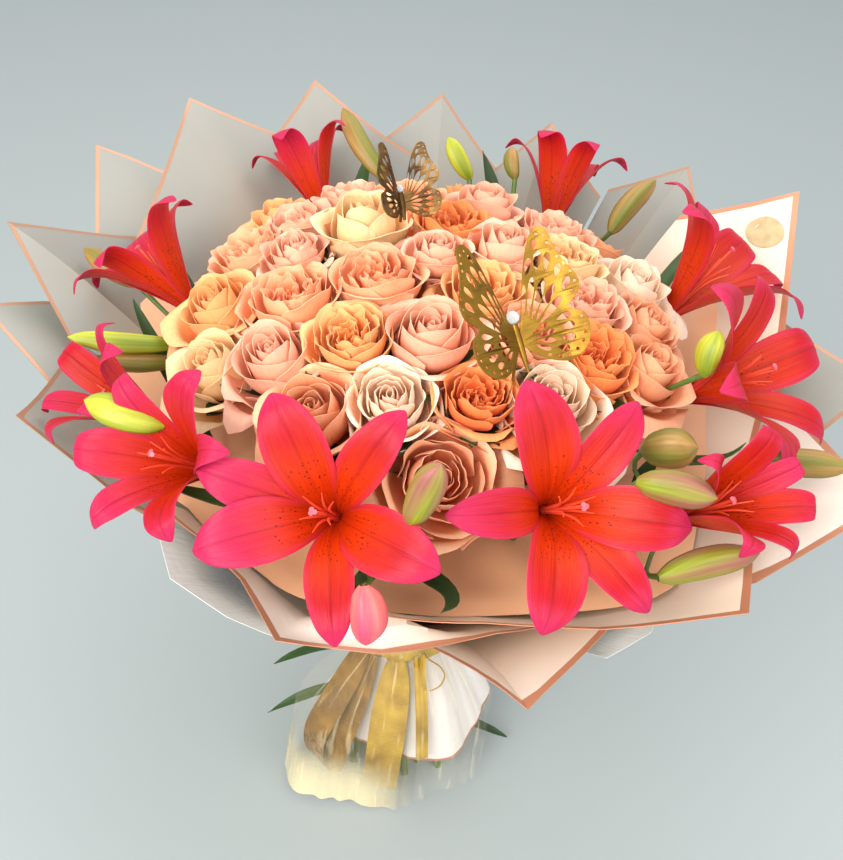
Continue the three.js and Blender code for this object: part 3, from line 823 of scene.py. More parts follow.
@dataclass(frozen=True)
class Satin(Finish):
    """Woven satin ribbon with fine cross ribs; at full crumpling, a crumpled stretch with painted dark shade
    in its folds.
    """

    dark: Colour
    light: Colour
    crumple_and_shade: float = 0.0

    def paint(self, n: Nodes, shader: bpy.types.Node) -> None:
        """Fill the shader's inputs.

        Args:
            n: the material's nodes.
            shader: the material's Principled BSDF.
        """
        across, along = n.uv("UVMap")
        ribs = n.add("CombineXYZ", {0: across, 1: n.times(along, 9.0), 2: 0.0}).outputs[0]
        weave = n.add("TexWave", {"Vector": ribs, "Scale": 3.0, "Distortion": 0.4},
                      bands_direction="Y").outputs["Fac"]
        patches, grain = n.grain(50.0, 700.0)
        colour = n.mix(patches, self.dark, self.light)
        # Painted shade: a stretch of the loop is tinted dark and less metallic, mottled along its crumpled
        # folds.
        low = n.times(n.times(n.step(along, 0.36, 0.44), n.step(along, 0.66, 0.56)), self.crumple_and_shade)
        folds = n.noise(n.times(across, 7.0), n.times(along, 70.0), 0.0, detail=3.0)
        tucked_shade = n.mix(n.step(folds, 0.38, 0.62), srgb(66, 40, 24), srgb(164, 124, 84))
        colour = n.mix(low, colour, tucked_shade)
        height = n.plus(n.plus(weave, grain), n.times(n.times(folds, low), 6.0))
        self.connect(n, shader, Base_Color=colour, Roughness=0.36, Sheen_Weight=0.04, Anisotropic=0.4,
                     Metallic=n.less(0.45, n.times(low, 0.4)),
                     Normal=self.bump(n, height, 0.0002, 0.5))


@dataclass(frozen=True)
class AntiqueGold(Finish):
    """Pressed gold foil with darker wear in uneven patches."""

    bright: Colour
    worn: Colour

    def paint(self, n: Nodes, shader: bpy.types.Node) -> None:
        """Fill the shader's inputs.

        Args:
            n: the material's nodes.
            shader: the material's Principled BSDF.
        """
        wear, height = n.grain(90.0, 1400.0)
        self.connect(n, shader, Base_Color=n.mix(wear, self.worn, self.bright), Metallic=0.8,
                     Roughness=n.ranged(wear, 0.0, 1.0, 0.5, 0.36), Normal=self.bump(n, height, 0.0003, 0.6))


@dataclass(frozen=True)
class Plain(Finish):
    """A plain smooth finish, such as a gem, a stamen or a label, with faint grain."""

    tint: Colour
    roughness: float
    clear: float = 0.0
    unevenness: float = 0.2

    def paint(self, n: Nodes, shader: bpy.types.Node) -> None:
        """Fill the shader's inputs.

        Args:
            n: the material's nodes.
            shader: the material's Principled BSDF.
        """
        patches, height = n.grain(90.0, 900.0)
        darker = tuple((1 - self.unevenness) * share for share in self.tint)
        self.connect(n, shader, Base_Color=n.mix(patches, darker, self.tint), Roughness=self.roughness,
                     Transmission_Weight=self.clear, Normal=self.bump(n, height, 0.0002, 0.3))


class RoseColour(Enum):
    """The rose finishes."""

    CREAM = RosePetal("rose_cream", srgb(240, 160, 84), srgb(250, 202, 144), srgb(255, 230, 190),
                      srgb(248, 168, 86), srgb(222, 112, 34))
    # A paler, brighter copy of the cream finish for some cream roses: painted light.
    IVORY = RosePetal("rose_ivory", srgb(244, 180, 134), srgb(255, 220, 186), srgb(255, 240, 222),
                      srgb(250, 190, 150), srgb(214, 116, 82), "rose_cream")
    PEACH = RosePetal("rose_peach", srgb(232, 108, 60), srgb(248, 158, 110), srgb(255, 210, 174),
                      srgb(246, 130, 72), srgb(212, 70, 26))
    BLUSH = RosePetal("rose_blush", srgb(230, 116, 86), srgb(248, 168, 134), srgb(255, 216, 190),
                      srgb(244, 138, 100), srgb(206, 74, 50))
    APRICOT = RosePetal("rose_apricot", srgb(232, 114, 42), srgb(248, 164, 96), srgb(254, 210, 156),
                        srgb(246, 134, 50), srgb(208, 70, 12))
    ORANGE = RosePetal("rose_orange", srgb(226, 86, 26), srgb(246, 132, 62), srgb(255, 186, 124),
                       srgb(238, 92, 24), srgb(176, 38, 6))


LILY = LilyPetal("lily", srgb(190, 46, 3), srgb(169, 9, 23), srgb(186, 33, 82), srgb(56, 6, 12))
LEAF = TintedSkin("leaf", srgb(30, 54, 22), srgb(74, 106, 48))
STALK = TintedSkin("stalk", srgb(52, 84, 34), srgb(112, 138, 62))
BUD_LIME = TintedSkin("bud_lime", srgb(118, 138, 34), srgb(192, 190, 54))
BUD_PINK = TintedSkin("bud_pink", srgb(136, 146, 30), srgb(150, 82, 80))
BUD_ROSY = TintedSkin("bud_rosy", srgb(222, 112, 104), srgb(214, 62, 96))
BUD_OLIVE = TintedSkin("bud_olive", srgb(104, 112, 34), srgb(164, 122, 66))
# Width of the papers' metallic border, in metres.
BORDER = 0.0062
# Each paper's second tint is painted shade in towards the tie.
PAPER = WrapPaper("wrap_paper", srgb(236, 220, 206), srgb(238, 206, 182), srgb(204, 138, 110), BORDER)
# A warmer copy of the wrap paper for the right sheet: painted light shining through the paper.
PAPER_LIT_THROUGH = WrapPaper("wrap_paper_warm", srgb(238, 216, 194), srgb(232, 180, 138), srgb(202, 132, 100),
                       BORDER)
# One flat tan for the inner ply: painted shade on the paper's inside under the flowers.
INNER_PLY_SHADE = WrapPaper("inner_ply", srgb(240, 180, 134), srgb(240, 180, 134), srgb(240, 180, 134),
                      border_width=0.0)
# A greyer, darker copy of the wrap paper for the back and side sheets: painted shade.
PAPER_SHADED = WrapPaper("wrap_paper_pale", srgb(150, 149, 143), srgb(176, 158, 134), srgb(176, 130, 104),
                       border_width=0.0036, opacity=0.84)
# Painted shade darkens the frill towards the tie.
FRILL = WrapPaper("frill_paper", srgb(222, 214, 208), srgb(206, 192, 180), srgb(184, 118, 88),
                  border_width=0.0016)
# The film's grey and pale corner tints are painted shade and painted highlight.
FILM = Frosted("clear_film", srgb(236, 224, 184), srgb(84, 92, 98), srgb(226, 230, 230), alpha=0.04)
RIBBON = Satin("ribbon_satin", srgb(146, 110, 18), srgb(200, 160, 46))
# A darker copy of the ribbon's satin for the loop: painted shade.
RIBBON_SHADED = Satin("ribbon_satin_shaded", srgb(104, 66, 10), srgb(160, 112, 26), crumple_and_shade=1.0)
GOLD = AntiqueGold("antique_gold", srgb(142, 108, 32), srgb(116, 84, 22))
BRONZE = AntiqueGold("antique_bronze", srgb(120, 88, 44), srgb(64, 44, 24))
GEM = Plain("clear_gem", srgb(235, 240, 245), roughness=0.05, clear=0.6)
STAMEN = Plain("stamen", srgb(238, 84, 54), roughness=0.45)
STIGMA = Plain("stigma", srgb(222, 96, 108), roughness=0.4)
LABEL = Plain("round_label", srgb(206, 178, 130), roughness=0.35, unevenness=0.35)


# The camera, light and floor


@dataclass(frozen=True)
class Viewpoint:
    """The photograph's view, looking down on the front, in degrees, metres and the picture's pixels."""

    lift: float = 40.0
    distance: float = 0.95
    target_height: float = 0.35
    roll: float = 5.0
    focal_pixels: float = 1300.0
    frame_width: int = 843

    def build(self) -> bpy.types.Object:
        """Add the camera and make it the scene's own.

        Returns:
            The camera object.
        """
        lift = math.radians(self.lift)
        data = bpy.data.cameras.new("photo_camera")
        data.sensor_fit = "HORIZONTAL"
        data.sensor_width = 36.0
        data.lens = self.focal_pixels / self.frame_width * data.sensor_width
        data.clip_start = 0.01
        camera = bpy.data.objects.new("photo_camera", data)
        height = self.target_height + self.distance * math.sin(lift)
        camera.location = (0, -self.distance * math.cos(lift), height)
        roll = Matrix.Rotation(math.radians(self.roll), 4, "Z")
        camera.rotation_euler = (Matrix.Rotation(math.radians(90) - lift, 4, "X") @ roll).to_euler()
        bpy.context.scene.collection.objects.link(camera)
        bpy.context.scene.camera = camera
        return camera


# Each lamp's name, place, target, size in metres, power in watts and colour.
LAMPS = (
    ("key_light", (-0.8, -1.35, 1.5), (0, 0, 0.4), 1.2, 43.0, (1.0, 0.97, 0.92)),
    ("top_light", (0.1, 0.55, 1.9), (0, -0.05, 0.4), 1.4, 16.0, (1.0, 0.98, 0.95)),
    ("front_light", (-0.1, -1.5, 0.75), (0, -0.1, 0.3), 1.2, 4.0, (1.0, 0.98, 0.95)),
    ("fill_light", (1.3, -1.2, 1.1), (0, 0, 0.4), 1.6, 18.0, (0.98, 0.98, 1.0)),
)


@dataclass(frozen=True)
class Studio:
    """A plain pale floor and soft light from the upper left, with a weaker fill."""

    floor_size: float = 8.0
    floor_colour: Colour = srgb(156, 164, 164)
    sky: Colour = (0.97, 0.99, 1.0)
    sky_strength: float = 0.95

    def lamp(self, name: str, place: Place, target: Place, size: float, power: float, colour: Colour) -> None:
        """Add a soft square lamp that points at a target.

        Args:
            name: the lamp's name.
            place: where it stands, in metres.
            target: the place that it points at.
            size: its width, in metres.
            power: its power, in watts.
            colour: its light's colour.
        """
        data = bpy.data.lights.new(name, "AREA")
        data.size, data.energy, data.color = size, power, colour
        lamp = bpy.data.objects.new(name, data)
        lamp.location = place
        lamp.rotation_euler = (Vector(target) - Vector(place)).to_track_quat("-Z", "Y").to_euler()
        bpy.context.scene.collection.objects.link(lamp)

    def build(self) -> None:
        """Add the floor, the lamps and the sky."""
        deselect_all()
        bpy.ops.mesh.primitive_plane_add(size=self.floor_size, location=(0, 0, 0))
        floor = bpy.context.active_object
        rename(floor, "floor")
        finish = Plain("pale_floor", self.floor_colour, roughness=0.85, unevenness=0.0)
        floor.data.materials.append(finish.material())
        for row in LAMPS:
            self.lamp(*row)
        world = bpy.context.scene.world or bpy.data.worlds.new("soft_sky")
        bpy.context.scene.world = world
        world.use_nodes = True
        sky = world.node_tree.nodes["Background"]
        sky.inputs["Color"].default_value = (*self.sky, 1)
        sky.inputs["Strength"].default_value = self.sky_strength
        bpy.context.scene.view_settings.view_transform = "Standard"


# Roses

PATTERN_SIZE = 100.0

# Cells each way in a petal, by how near the heart its row is: the outer rows are the finest.
PETAL_CELLS = ((0.35, 14), (0.7, 10), (2.0, 8))


@dataclass(frozen=True)
class PetalRow:
    """One row of alike petals, in shares of the bloom's size and degrees."""

    count: int
    radius: float
    top: float
    foot: float
    half: float
    roll: float = 0.0
    lean: float = 0.0
    tuck: float = 0.02
    ruffle: float = 0.01
    turn: float = 0.0
    point: float = 0.03

    def petal(self, name: str, turn: float, ring: float, rng: np.random.Generator) -> bpy.types.Object:
        """Model one petal of the row.

        Args:
            name: the petal's name.
            turn: compass angle of its middle.
            ring: 0 in the outermost row, 1 at the heart.
            rng: seeded source of small differences.

        Returns:
            A sheet in millimetres for a bloom 100 mm across.
        """
        phase, other, swell = rng.uniform(*PHASES), rng.uniform(*PHASES), rng.uniform(0.93, 1.07)
        lift, skew = rng.uniform(-0.04, 0.04), rng.uniform(-0.2, 0.2)
        loose = rng.uniform(0.6, 1.5)

        def surface(u: np.ndarray, v: np.ndarray) -> np.ndarray:
            """Places of the petal's points.

            Args:
                u: across, -1 to 1, for each point.
                v: along, 0 to 1, for each point.

            Returns:
                The places in millimetres, one row each.
            """
            reach = v * (1 - 0.26 * np.abs(u + skew * (1 - u * u)) ** 2.4)
            width = 0.4 + 0.6 * np.sin(np.minimum(v * 1.3, 1) * math.pi / 2)
            angle = math.radians(turn) + math.radians(self.half) * u * width
            belly = np.sin(np.minimum(reach / 0.7, 1) * math.pi / 2) ** 0.9
            lip, curl = np.clip((reach - 0.5) / 0.5, 0, 1), np.clip((reach - 0.78) / 0.22, 0, 1)
            side = np.clip((np.abs(u) - 0.6) / 0.4, 0, 1) ** 2 * np.clip(v * 1.5 - 0.4, 0, 1)
            radius = 0.04 + (self.radius * swell - 0.04) * belly
            radius = radius * (1 - self.lean * lip**1.2) + self.tuck * u * width
            bent = 0.35 * lip**1.5 + 0.65 * curl**1.4
            radius = radius + self.roll * loose * (bent + 0.35 * side)
            height = self.foot + (self.top + lift - self.foot) * reach**1.05
            height = height - abs(self.roll) * loose * (0.25 * lip**2 + 0.75 * curl**2.2)
            tip = self.point * (1 - np.abs(u)) ** 2 * reach**5
            broad = 1.3 * np.sin(1.3 * math.pi * u + phase)
            wave = (broad + 0.6 * np.sin(3.1 * math.pi * u + other)) * lip**1.5
            radius = np.maximum(radius + self.ruffle * wave + 0.6 * tip, 0.008)
            height = height + tip + 1.2 * self.ruffle * np.sin(1.9 * math.pi * u + other) * lip**1.5
            return PATTERN_SIZE * polar(radius, angle, height)

        cells = next(count for limit, count in PETAL_CELLS if ring < limit)
        piece = laid_sheet(name, cells, cells, surface)
        mark(piece, "petal", ring, rng.uniform(0, 1))
        return piece


class RoseForm(Enum):
    """How a rose is built up, from its outermost row to its heart."""

    GARDEN = (
        PetalRow(4, 0.57, 0.02, -0.48, 56, 0.17, 0.0, 0.015, 0.018, 0, 0.08),
        PetalRow(4, 0.46, 0.17, -0.46, 58, 0.09, 0.0, 0.015, 0.014, 42, 0.04),
        PetalRow(4, 0.38, 0.24, -0.44, 56, 0.05, 0.02, 0.02, 0.016, 12, 0.02),
        PetalRow(5, 0.31, 0.26, -0.3, 44, 0.03, 0.08, 0.03, 0.02, 44, 0.0),
        PetalRow(5, 0.245, 0.25, -0.2, 42, 0.02, 0.12, 0.04, 0.026, 5, 0.0),
        PetalRow(5, 0.18, 0.2, -0.1, 38, 0.02, 0.16, 0.05, 0.026, 50, 0.0),
        PetalRow(4, 0.12, 0.13, -0.1, 42, 0.01, 0.2, 0.04, 0.02, 20, 0.0),
        PetalRow(3, 0.06, 0.06, -0.1, 50, 0.0, 0.2, 0.02, 0.012, 20, 0.0),
    )
    QUARTERED = (
        PetalRow(4, 0.57, 0.03, -0.48, 56, 0.16, 0.0, 0.015, 0.018, 0, 0.08),
        PetalRow(4, 0.46, 0.2, -0.46, 58, 0.07, 0.0, 0.02, 0.012, 40, 0.03),
        PetalRow(5, 0.39, 0.25, -0.42, 46, 0.03, 0.04, 0.02, 0.014, 10, 0.0),
        PetalRow(6, 0.32, 0.24, -0.2, 32, 0.02, 0.08, 0.06, 0.02, 0, 0.0),
        PetalRow(6, 0.25, 0.22, -0.16, 30, 0.015, 0.1, 0.07, 0.024, 22, 0.0),
        PetalRow(5, 0.17, 0.17, -0.1, 34, 0.01, 0.12, 0.05, 0.022, 12, 0.0),
        PetalRow(4, 0.1, 0.1, -0.1, 42, 0.0, 0.2, 0.03, 0.016, 40, 0.0),
    )
    SPIRAL = (
        PetalRow(3, 0.57, 0.0, -0.48, 70, 0.2, 0.0, 0.02, 0.014, 0, 0.12),
        PetalRow(3, 0.49, 0.17, -0.47, 72, 0.13, 0.0, 0.02, 0.01, 60, 0.1),
        PetalRow(3, 0.39, 0.27, -0.46, 72, 0.06, 0.06, 0.02, 0.006, 100, 0.05),
        PetalRow(3, 0.31, 0.31, -0.4, 74, 0.03, 0.16, 0.02, 0.005, 30, 0.03),
        PetalRow(3, 0.24, 0.33, -0.36, 76, 0.02, 0.28, 0.02, 0.004, 75, 0.02),
        PetalRow(3, 0.17, 0.33, -0.3, 78, 0.015, 0.34, 0.016, 0.003, 20, 0.01),
        PetalRow(3, 0.11, 0.31, -0.2, 84, 0.01, 0.36, 0.012, 0.002, 75, 0.0),
        PetalRow(2, 0.05, 0.29, -0.1, 110, 0.0, 0.3, 0.01, 0.0, 30, 0.0),
    )
    HALF_OPEN = (
        PetalRow(3, 0.56, 0.06, -0.48, 72, 0.22, 0.0, 0.02, 0.014, 0, 0.14),
        PetalRow(3, 0.44, 0.28, -0.48, 76, 0.1, 0.04, 0.02, 0.008, 60, 0.1),
        PetalRow(3, 0.34, 0.37, -0.46, 76, 0.03, 0.2, 0.02, 0.005, 100, 0.04),
        PetalRow(3, 0.26, 0.4, -0.44, 78, 0.02, 0.32, 0.02, 0.004, 20, 0.03),
        PetalRow(3, 0.18, 0.4, -0.4, 80, 0.015, 0.4, 0.016, 0.003, 60, 0.01),
        PetalRow(3, 0.11, 0.38, -0.3, 84, 0.01, 0.42, 0.012, 0.002, 100, 0.0),
        PetalRow(2, 0.05, 0.35, -0.2, 110, 0.0, 0.3, 0.008, 0.0, 0, 0.0),
    )
    ROSETTE = (
        PetalRow(4, 0.56, 0.02, -0.44, 56, 0.15, 0.0, 0.015, 0.018, 0, 0.07),
        PetalRow(4, 0.45, 0.17, -0.44, 58, 0.07, 0.0, 0.02, 0.014, 40, 0.03),
        PetalRow(5, 0.36, 0.24, -0.4, 48, 0.04, 0.08, 0.02, 0.014, 8, 0.01),
        PetalRow(5, 0.27, 0.28, -0.32, 48, 0.02, 0.18, 0.025, 0.014, 40, 0.0),
        PetalRow(4, 0.19, 0.28, -0.24, 56, 0.015, 0.26, 0.025, 0.01, 12, 0.0),
        PetalRow(3, 0.12, 0.26, -0.2, 72, 0.01, 0.3, 0.02, 0.006, 40, 0.0),
        PetalRow(2, 0.06, 0.24, -0.1, 110, 0.0, 0.3, 0.01, 0.0, 40, 0.0),
    )

    def pattern(self) -> bpy.types.Object:
        """Model the form once, as a pattern for its blooms.

        Returns:
            One bloom 100 mm across, its heart at the origin.
        """
        rng = np.random.default_rng(len(self.name) * 7 + 3)
        petals = []
        for row_number, row in enumerate(self.value):
            ring = row_number / (len(self.value) - 1)
            for k in range(row.count):
                turn = row.turn + 360 * k / row.count + rng.uniform(-7, 7)
                petals.append(row.petal(f"petal_{row_number}_{k}", turn, ring, rng))
        bloom = join("form_" + self.name.lower(), petals)
        thicken(bloom, 0.45, degrees=75)
        return bloom


# How blooms press on each other: the share of its room that a bloom fills freely, how far apart
# neighbours can be, and how far two blooms reach into each other.
FREE_SHARE, NEIGHBOUR_RANGE, OVERLAP = 0.84, 110.0, 1.2

# How far each bloom is turned past the last one, and the depth and length of its unevenness.
SPIN, WOBBLE, WOBBLE_LENGTH = 2.4, 2.6, 28.0


@dataclass(frozen=True)
class Rose:
    """One bloom on the dome: its number, place in plan, size, colour and form."""

    number: int
    x: float
    y: float
    size: float
    colour: RoseColour
    form: RoseForm

    @property
    def face_height(self) -> float:
        """Height of the dome over the bloom's place."""
        return DOME_HEIGHT + DOME_RISE * math.sqrt(1 - (self.x**2 + self.y**2) / DOME_RADIUS**2)

    @property
    def outward(self) -> np.ndarray:
        """The way straight out of the dome at the bloom's place."""
        rise = self.face_height - DOME_HEIGHT
        return unit((self.x / DOME_RADIUS**2, self.y / DOME_RADIUS**2, rise / DOME_RISE**2))

    @property
    def axis(self) -> np.ndarray:
        """The way the bloom faces, out of the dome and a little more upright."""
        upright = 0.7 if self.form in (RoseForm.SPIRAL, RoseForm.HALF_OPEN) else 0.35
        return unit(self.outward + np.array((0, 0, upright)))

    @property
    def heart(self) -> np.ndarray:
        """The middle of the bloom."""
        return np.array((self.x, self.y, self.face_height)) - 0.3 * self.size * self.outward

    def pressed_in(self, offsets: np.ndarray, others: Sequence["Rose"]) -> np.ndarray:
        """Draw points in so that they stay on this bloom's side of each neighbour.

        Args:
            offsets: places from the bloom's heart.
            others: all the roses.

        Returns:
            The places, drawn towards the heart where the blooms press on each other.
        """
        walls = [(other.heart - self.heart, other.size) for other in others if other is not self]
        walls = [(gap, size) for gap, size in walls if np.linalg.norm(gap) < NEIGHBOUR_RANGE]
        towards = np.array([unit(gap) for gap, _ in walls])
        reach = np.array([np.linalg.norm(gap) * self.size / (self.size + size) for gap, size in walls])
        fill = (offsets @ towards.T / (reach * OVERLAP)).max(axis=1)
        pressed = FREE_SHARE + (1 - FREE_SHARE) * np.tanh((fill - FREE_SHARE) / (1 - FREE_SHARE))
        return offsets * np.where(fill > FREE_SHARE, pressed / np.maximum(fill, 1e-6), 1)[:, None]

    def build(self, pattern: bpy.types.Object, others: Sequence["Rose"]) -> bpy.types.Object:
        """Place a copy of the form's pattern on the dome, squeezed between its neighbours.

        Args:
            pattern: one bloom of the rose's form.
            others: all the roses.

        Returns:
            The dressed bloom.
        """
        frame_rows = frame_along(self.axis)
        cos, sin = math.cos(self.number * SPIN), math.sin(self.number * SPIN)
        turn = np.array([[cos, sin, 0], [-sin, cos, 0], [0, 0, 1]])

        def places(points: np.ndarray) -> np.ndarray:
            """Places of the bloom's points, in metres.

            Args:
                points: the pattern's points, in millimetres.

            Returns:
                Their places, in metres.
            """
            bend = points[:, [1, 2, 0]] / WOBBLE_LENGTH + self.number * np.array((1.3, 2.1, 0.7))
            offsets = ((points + WOBBLE * np.sin(bend)) * self.size / PATTERN_SIZE) @ turn @ frame_rows
            return (self.heart + self.pressed_in(offsets, others)) * MM

        piece = copied(f"bloom_{self.number:02d}", pattern, places)
        return dress(piece, self.colour.value, self.colour.value.slot, f"rose_{self.number:02d}")


CREAM, IVORY, PEACH = RoseColour.CREAM, RoseColour.IVORY, RoseColour.PEACH
BLUSH, APRICOT, ORANGE = RoseColour.BLUSH, RoseColour.APRICOT, RoseColour.ORANGE
GARDEN, QUARTERED, SPIRAL = RoseForm.GARDEN, RoseForm.QUARTERED, RoseForm.SPIRAL
HALF_OPEN, ROSETTE = RoseForm.HALF_OPEN, RoseForm.ROSETTE

ROSES = (
    (-55, 40, 62, CREAM, HALF_OPEN), (-38, -28, 56, PEACH, QUARTERED), (0, 2, 44, BLUSH, ROSETTE),
    (-95, -38, 64, PEACH, GARDEN), (-150, -28, 56, APRICOT, SPIRAL), (-138, 36, 60, PEACH, GARDEN),
    (-98, 12, 44, BLUSH, ROSETTE), (-100, 64, 56, BLUSH, QUARTERED), (-144, -82, 54, CREAM, SPIRAL),
    (-102, -92, 58, BLUSH, SPIRAL), (-52, -84, 56, APRICOT, GARDEN), (0, -80, 62, BLUSH, SPIRAL),
    (-20, -130, 54, IVORY, ROSETTE), (34, -121, 52, ORANGE, GARDEN), (14, -170, 66, PEACH, ROSETTE),
    (-70, -136, 60, PEACH, HALF_OPEN), (82, -112, 66, IVORY, SPIRAL), (113, -66, 60, ORANGE, GARDEN),
    (153, -48, 52, PEACH, SPIRAL), (104, -18, 56, BLUSH, GARDEN), (92, 30, 58, CREAM, GARDEN),
    (146, 42, 56, IVORY, SPIRAL), (36, -32, 56, APRICOT, GARDEN), (46, 20, 48, BLUSH, HALF_OPEN),
    (84, 82, 56, BLUSH, GARDEN), (10, 48, 54, ORANGE, QUARTERED), (32, 98, 52, BLUSH, SPIRAL),
    (-20, 94, 48, PEACH, GARDEN), (-68, 108, 58, BLUSH, GARDEN), (152, -2, 50, PEACH, ROSETTE),
    (68, -66, 50, PEACH, QUARTERED), (-122, 108, 54, APRICOT, SPIRAL), (-30, 146, 54, CREAM, GARDEN),
    (28, 148, 54, APRICOT, GARDEN), (120, 112, 54, PEACH, QUARTERED),
)


class RoseBed:
    """All the roses of the dome."""

    def __init__(self) -> None:
        """Read the table of roses."""
        self.roses = [Rose(i + 1, *row) for i, row in enumerate(ROSES)]

    def build(self) -> None:
        """Model each form once and place its blooms."""
        for form in RoseForm:
            pattern = form.pattern()
            for rose in self.roses:
                if rose.form is form:
                    rose.build(pattern, self.roses)
            bpy.data.objects.remove(pattern)


# Lilies and their buds

# Along a petal: how far out, how deep in the throat and how high on the rise its midrib lies.
LILY_MIDRIB = (
    (0.0, 0.03, -1.0, 0.0), (0.14, 0.12, -0.44, 0.0), (0.28, 0.25, 0.0, 0.02), (0.48, 0.47, 0.0, 0.56),
    (0.68, 0.7, 0.0, 0.92), (0.86, 0.9, 0.0, 1.0), (1.0, 1.02, 0.0, 0.82),
)
LILY_WIDTHS = (
    (0.0, 0.2), (0.14, 0.5), (0.3, 0.84), (0.46, 1.0), (0.6, 0.98), (0.77, 0.78), (0.91, 0.44), (1.0, 0.05),
)
POD_WIDTHS = ((0.0, 0.24), (0.1, 0.62), (0.3, 0.9), (0.55, 1.0), (0.78, 0.84), (0.93, 0.42), (1.0, 0.02))


@dataclass(frozen=True)
class Lily:
    """An open lily: throat, bearing and lift of its face, petal directions, reach and rise."""

    number: int
    throat: Place
    bearing: float
    lift: float
    directions: tuple[float, ...]
    reach: float
    rise: float

    @property
    def rows(self) -> np.ndarray:
        """The flower's across, over and out rows."""
        return frame_along(facing(self.bearing, self.lift))

    @property
    def base(self) -> np.ndarray:
        """The flower's foot, where its stem meets it."""
        return np.array(self.throat) - self.rows[2] * (LILY_DEPTH + 2)

    def petal(self, k: int, direction: float, rng: np.random.Generator) -> bpy.types.Object:
        """Model one petal.

        Args:
            k: its number round the flower; the even ones are broader and lie on top.
            direction: the way it points, in degrees about the face.
            rng: seeded source of small differences.

        Returns:
            The petal's mesh.
        """
        broad = k % 2 == 0
        out, ray = self.rows[2], spoke(self.rows, math.radians(direction))
        side = np.cross(out, ray)
        reach = self.reach * rng.uniform(0.97, 1.03)
        phase, twist = rng.uniform(*PHASES), rng.uniform(-0.12, 0.12)
        half, level = (0.26 * reach, 1.4) if broad else (0.2 * reach, -0.6)

        def surface(u: np.ndarray, v: np.ndarray) -> np.ndarray:
            """Places of the petal's points.

            Args:
                u: across, -1 to 1, for each point.
                v: along, 0 to 1, for each point.

            Returns:
                The places in millimetres, one row each.
            """
            line = smooth_between(LILY_MIDRIB, v)
            width = smooth_between(LILY_WIDTHS, v)[:, 0] * half
            far = line[:, 0] * reach
            high = line[:, 1] * LILY_DEPTH + line[:, 2] * self.rise + level
            cup = 0.34 - 0.62 * np.clip((v - 0.45) / 0.55, 0, 1)
            high = high + cup * width * np.abs(u) ** 1.7
            groove = np.exp(-(((np.abs(u) - 0.17) / 0.1) ** 2)) - 0.9 * np.exp(-((u / 0.1) ** 2))
            high = high + 0.9 * groove * np.sin(math.pi * np.clip(v * 1.05, 0, 1))
            edge = np.abs(u) ** 3 * np.clip((v - 0.25) * 2, 0, 1) * (1 - v) ** 0.4
            high = high + 2.0 * edge * np.sin(15 * v + phase + 1.5 * np.sign(u))
            sideways = u * width + twist * width * v
            return np.array(self.throat) + far[:, None] * ray + sideways[:, None] * side + high[:, None] * out

        piece = laid_sheet(f"lily_petal_{k}", columns=12, rows=14, surface=surface)
        mark(piece, "petal", 1.0 if broad else 0.0, rng.uniform(0, 1))
        return piece

    def heart_rods(self, rng: np.random.Generator) -> tuple[bpy.types.Object, bpy.types.Object]:
        """Model the filaments with the pistil, and the stigma on its tip.

        Args:
            rng: seeded source of small differences.

        Returns:
            The filaments with the pistil, and the stigma.
        """
        throat, out = np.array(self.throat), self.rows[2]
        paths, heads = [], []
        for k in range(6):
            ray = spoke(self.rows, math.radians(60 * k + 30 + rng.uniform(-14, 14)))
            length = 30 * rng.uniform(0.8, 1.15)
            points = [throat - out * LILY_DEPTH * 0.7 + ray * 1.5, throat + ray * 3 + out * 2,
                      throat + ray * 6 + out * length * 0.6, throat + ray * 11 + out * length]
            paths.append((np.array(points), (0.9, 0.8, 0.7, 0.3)))
        end = throat + out * self.reach * 0.56
        paths.append((np.array([throat - out * (LILY_DEPTH + 1), throat - out * 12, end]), (3.6, 1.3, 1.0)))
        for k in range(3):
            ray = spoke(self.rows, math.radians(120 * k))
            heads.append((np.array([end - out * 1.5, end + ray * 1.4 + out * 1.0]), (1.1, 1.5)))
        return rods("filaments", paths), rods("stigma", heads)

    def build(self) -> None:
        """Build the petals as one flower, and the throat's filaments and stigma as pieces of their own."""
        rng = np.random.default_rng(self.number)
        ordered = sorted(self.directions)
        petals = [self.petal(k, direction, rng) for k, direction in enumerate(ordered)]
        flower = join(f"lily_flower_{self.number:02d}", petals)
        thicken(flower, 0.8, levels=1, degrees=80)
        filaments, heads = self.heart_rods(rng)
        dress(flower, LILY, "lily", f"lily_{self.number:02d}")
        rename(filaments, f"lily_filaments_{self.number:02d}")
        rename(heads, f"lily_stigma_{self.number:02d}")
        dress(filaments, STAMEN, "lily")
        dress(heads, STIGMA, "lily")


LILIES = tuple(Lily(i + 1, *row) for i, row in enumerate((
    ((-50, -190, 440), -100, 45, (125, 62, -14, -71, -151, 172), 74, 25),
    ((85, -168, 440), -72, 45, (103, 48, -17, -60, -113, 176), 74, 25),
    ((174, -148, 431), -40, 50, (125, 38, -5, -45, -92, -150), 44, 50),
    ((195, -42, 447), -22, 42, (98, 38, -22, -82, -142, 158), 68, 40),
    ((185, 61, 453), 22, 50, (98, 35, -9, -47, -87, -152), 68, 44),
    ((90, 183, 445), 78, 50, (120, 70, -5, -65, -115, -165), 50, 42),
    ((-100, 167, 447), 127, 47, (120, 50, -50, -95, -140, -178), 45, 40),
    ((-187, 32, 439), 155, 38, (170, 95, 20, -30, -85, -135), 56, 40),
    ((-139, -153, 437), -130, 42, (88, 30, -36, -100, -152, 150), 56, 38),
    ((-186, -84, 417), -165, 40, (72, 12, -48, -108, -168, 132), 43, 46),
)))


class BudTint(Enum):
    """The bud finishes."""

    LIME = BUD_LIME
    OLIVE = BUD_OLIVE
    PINK = BUD_PINK
    ROSY = BUD_ROSY


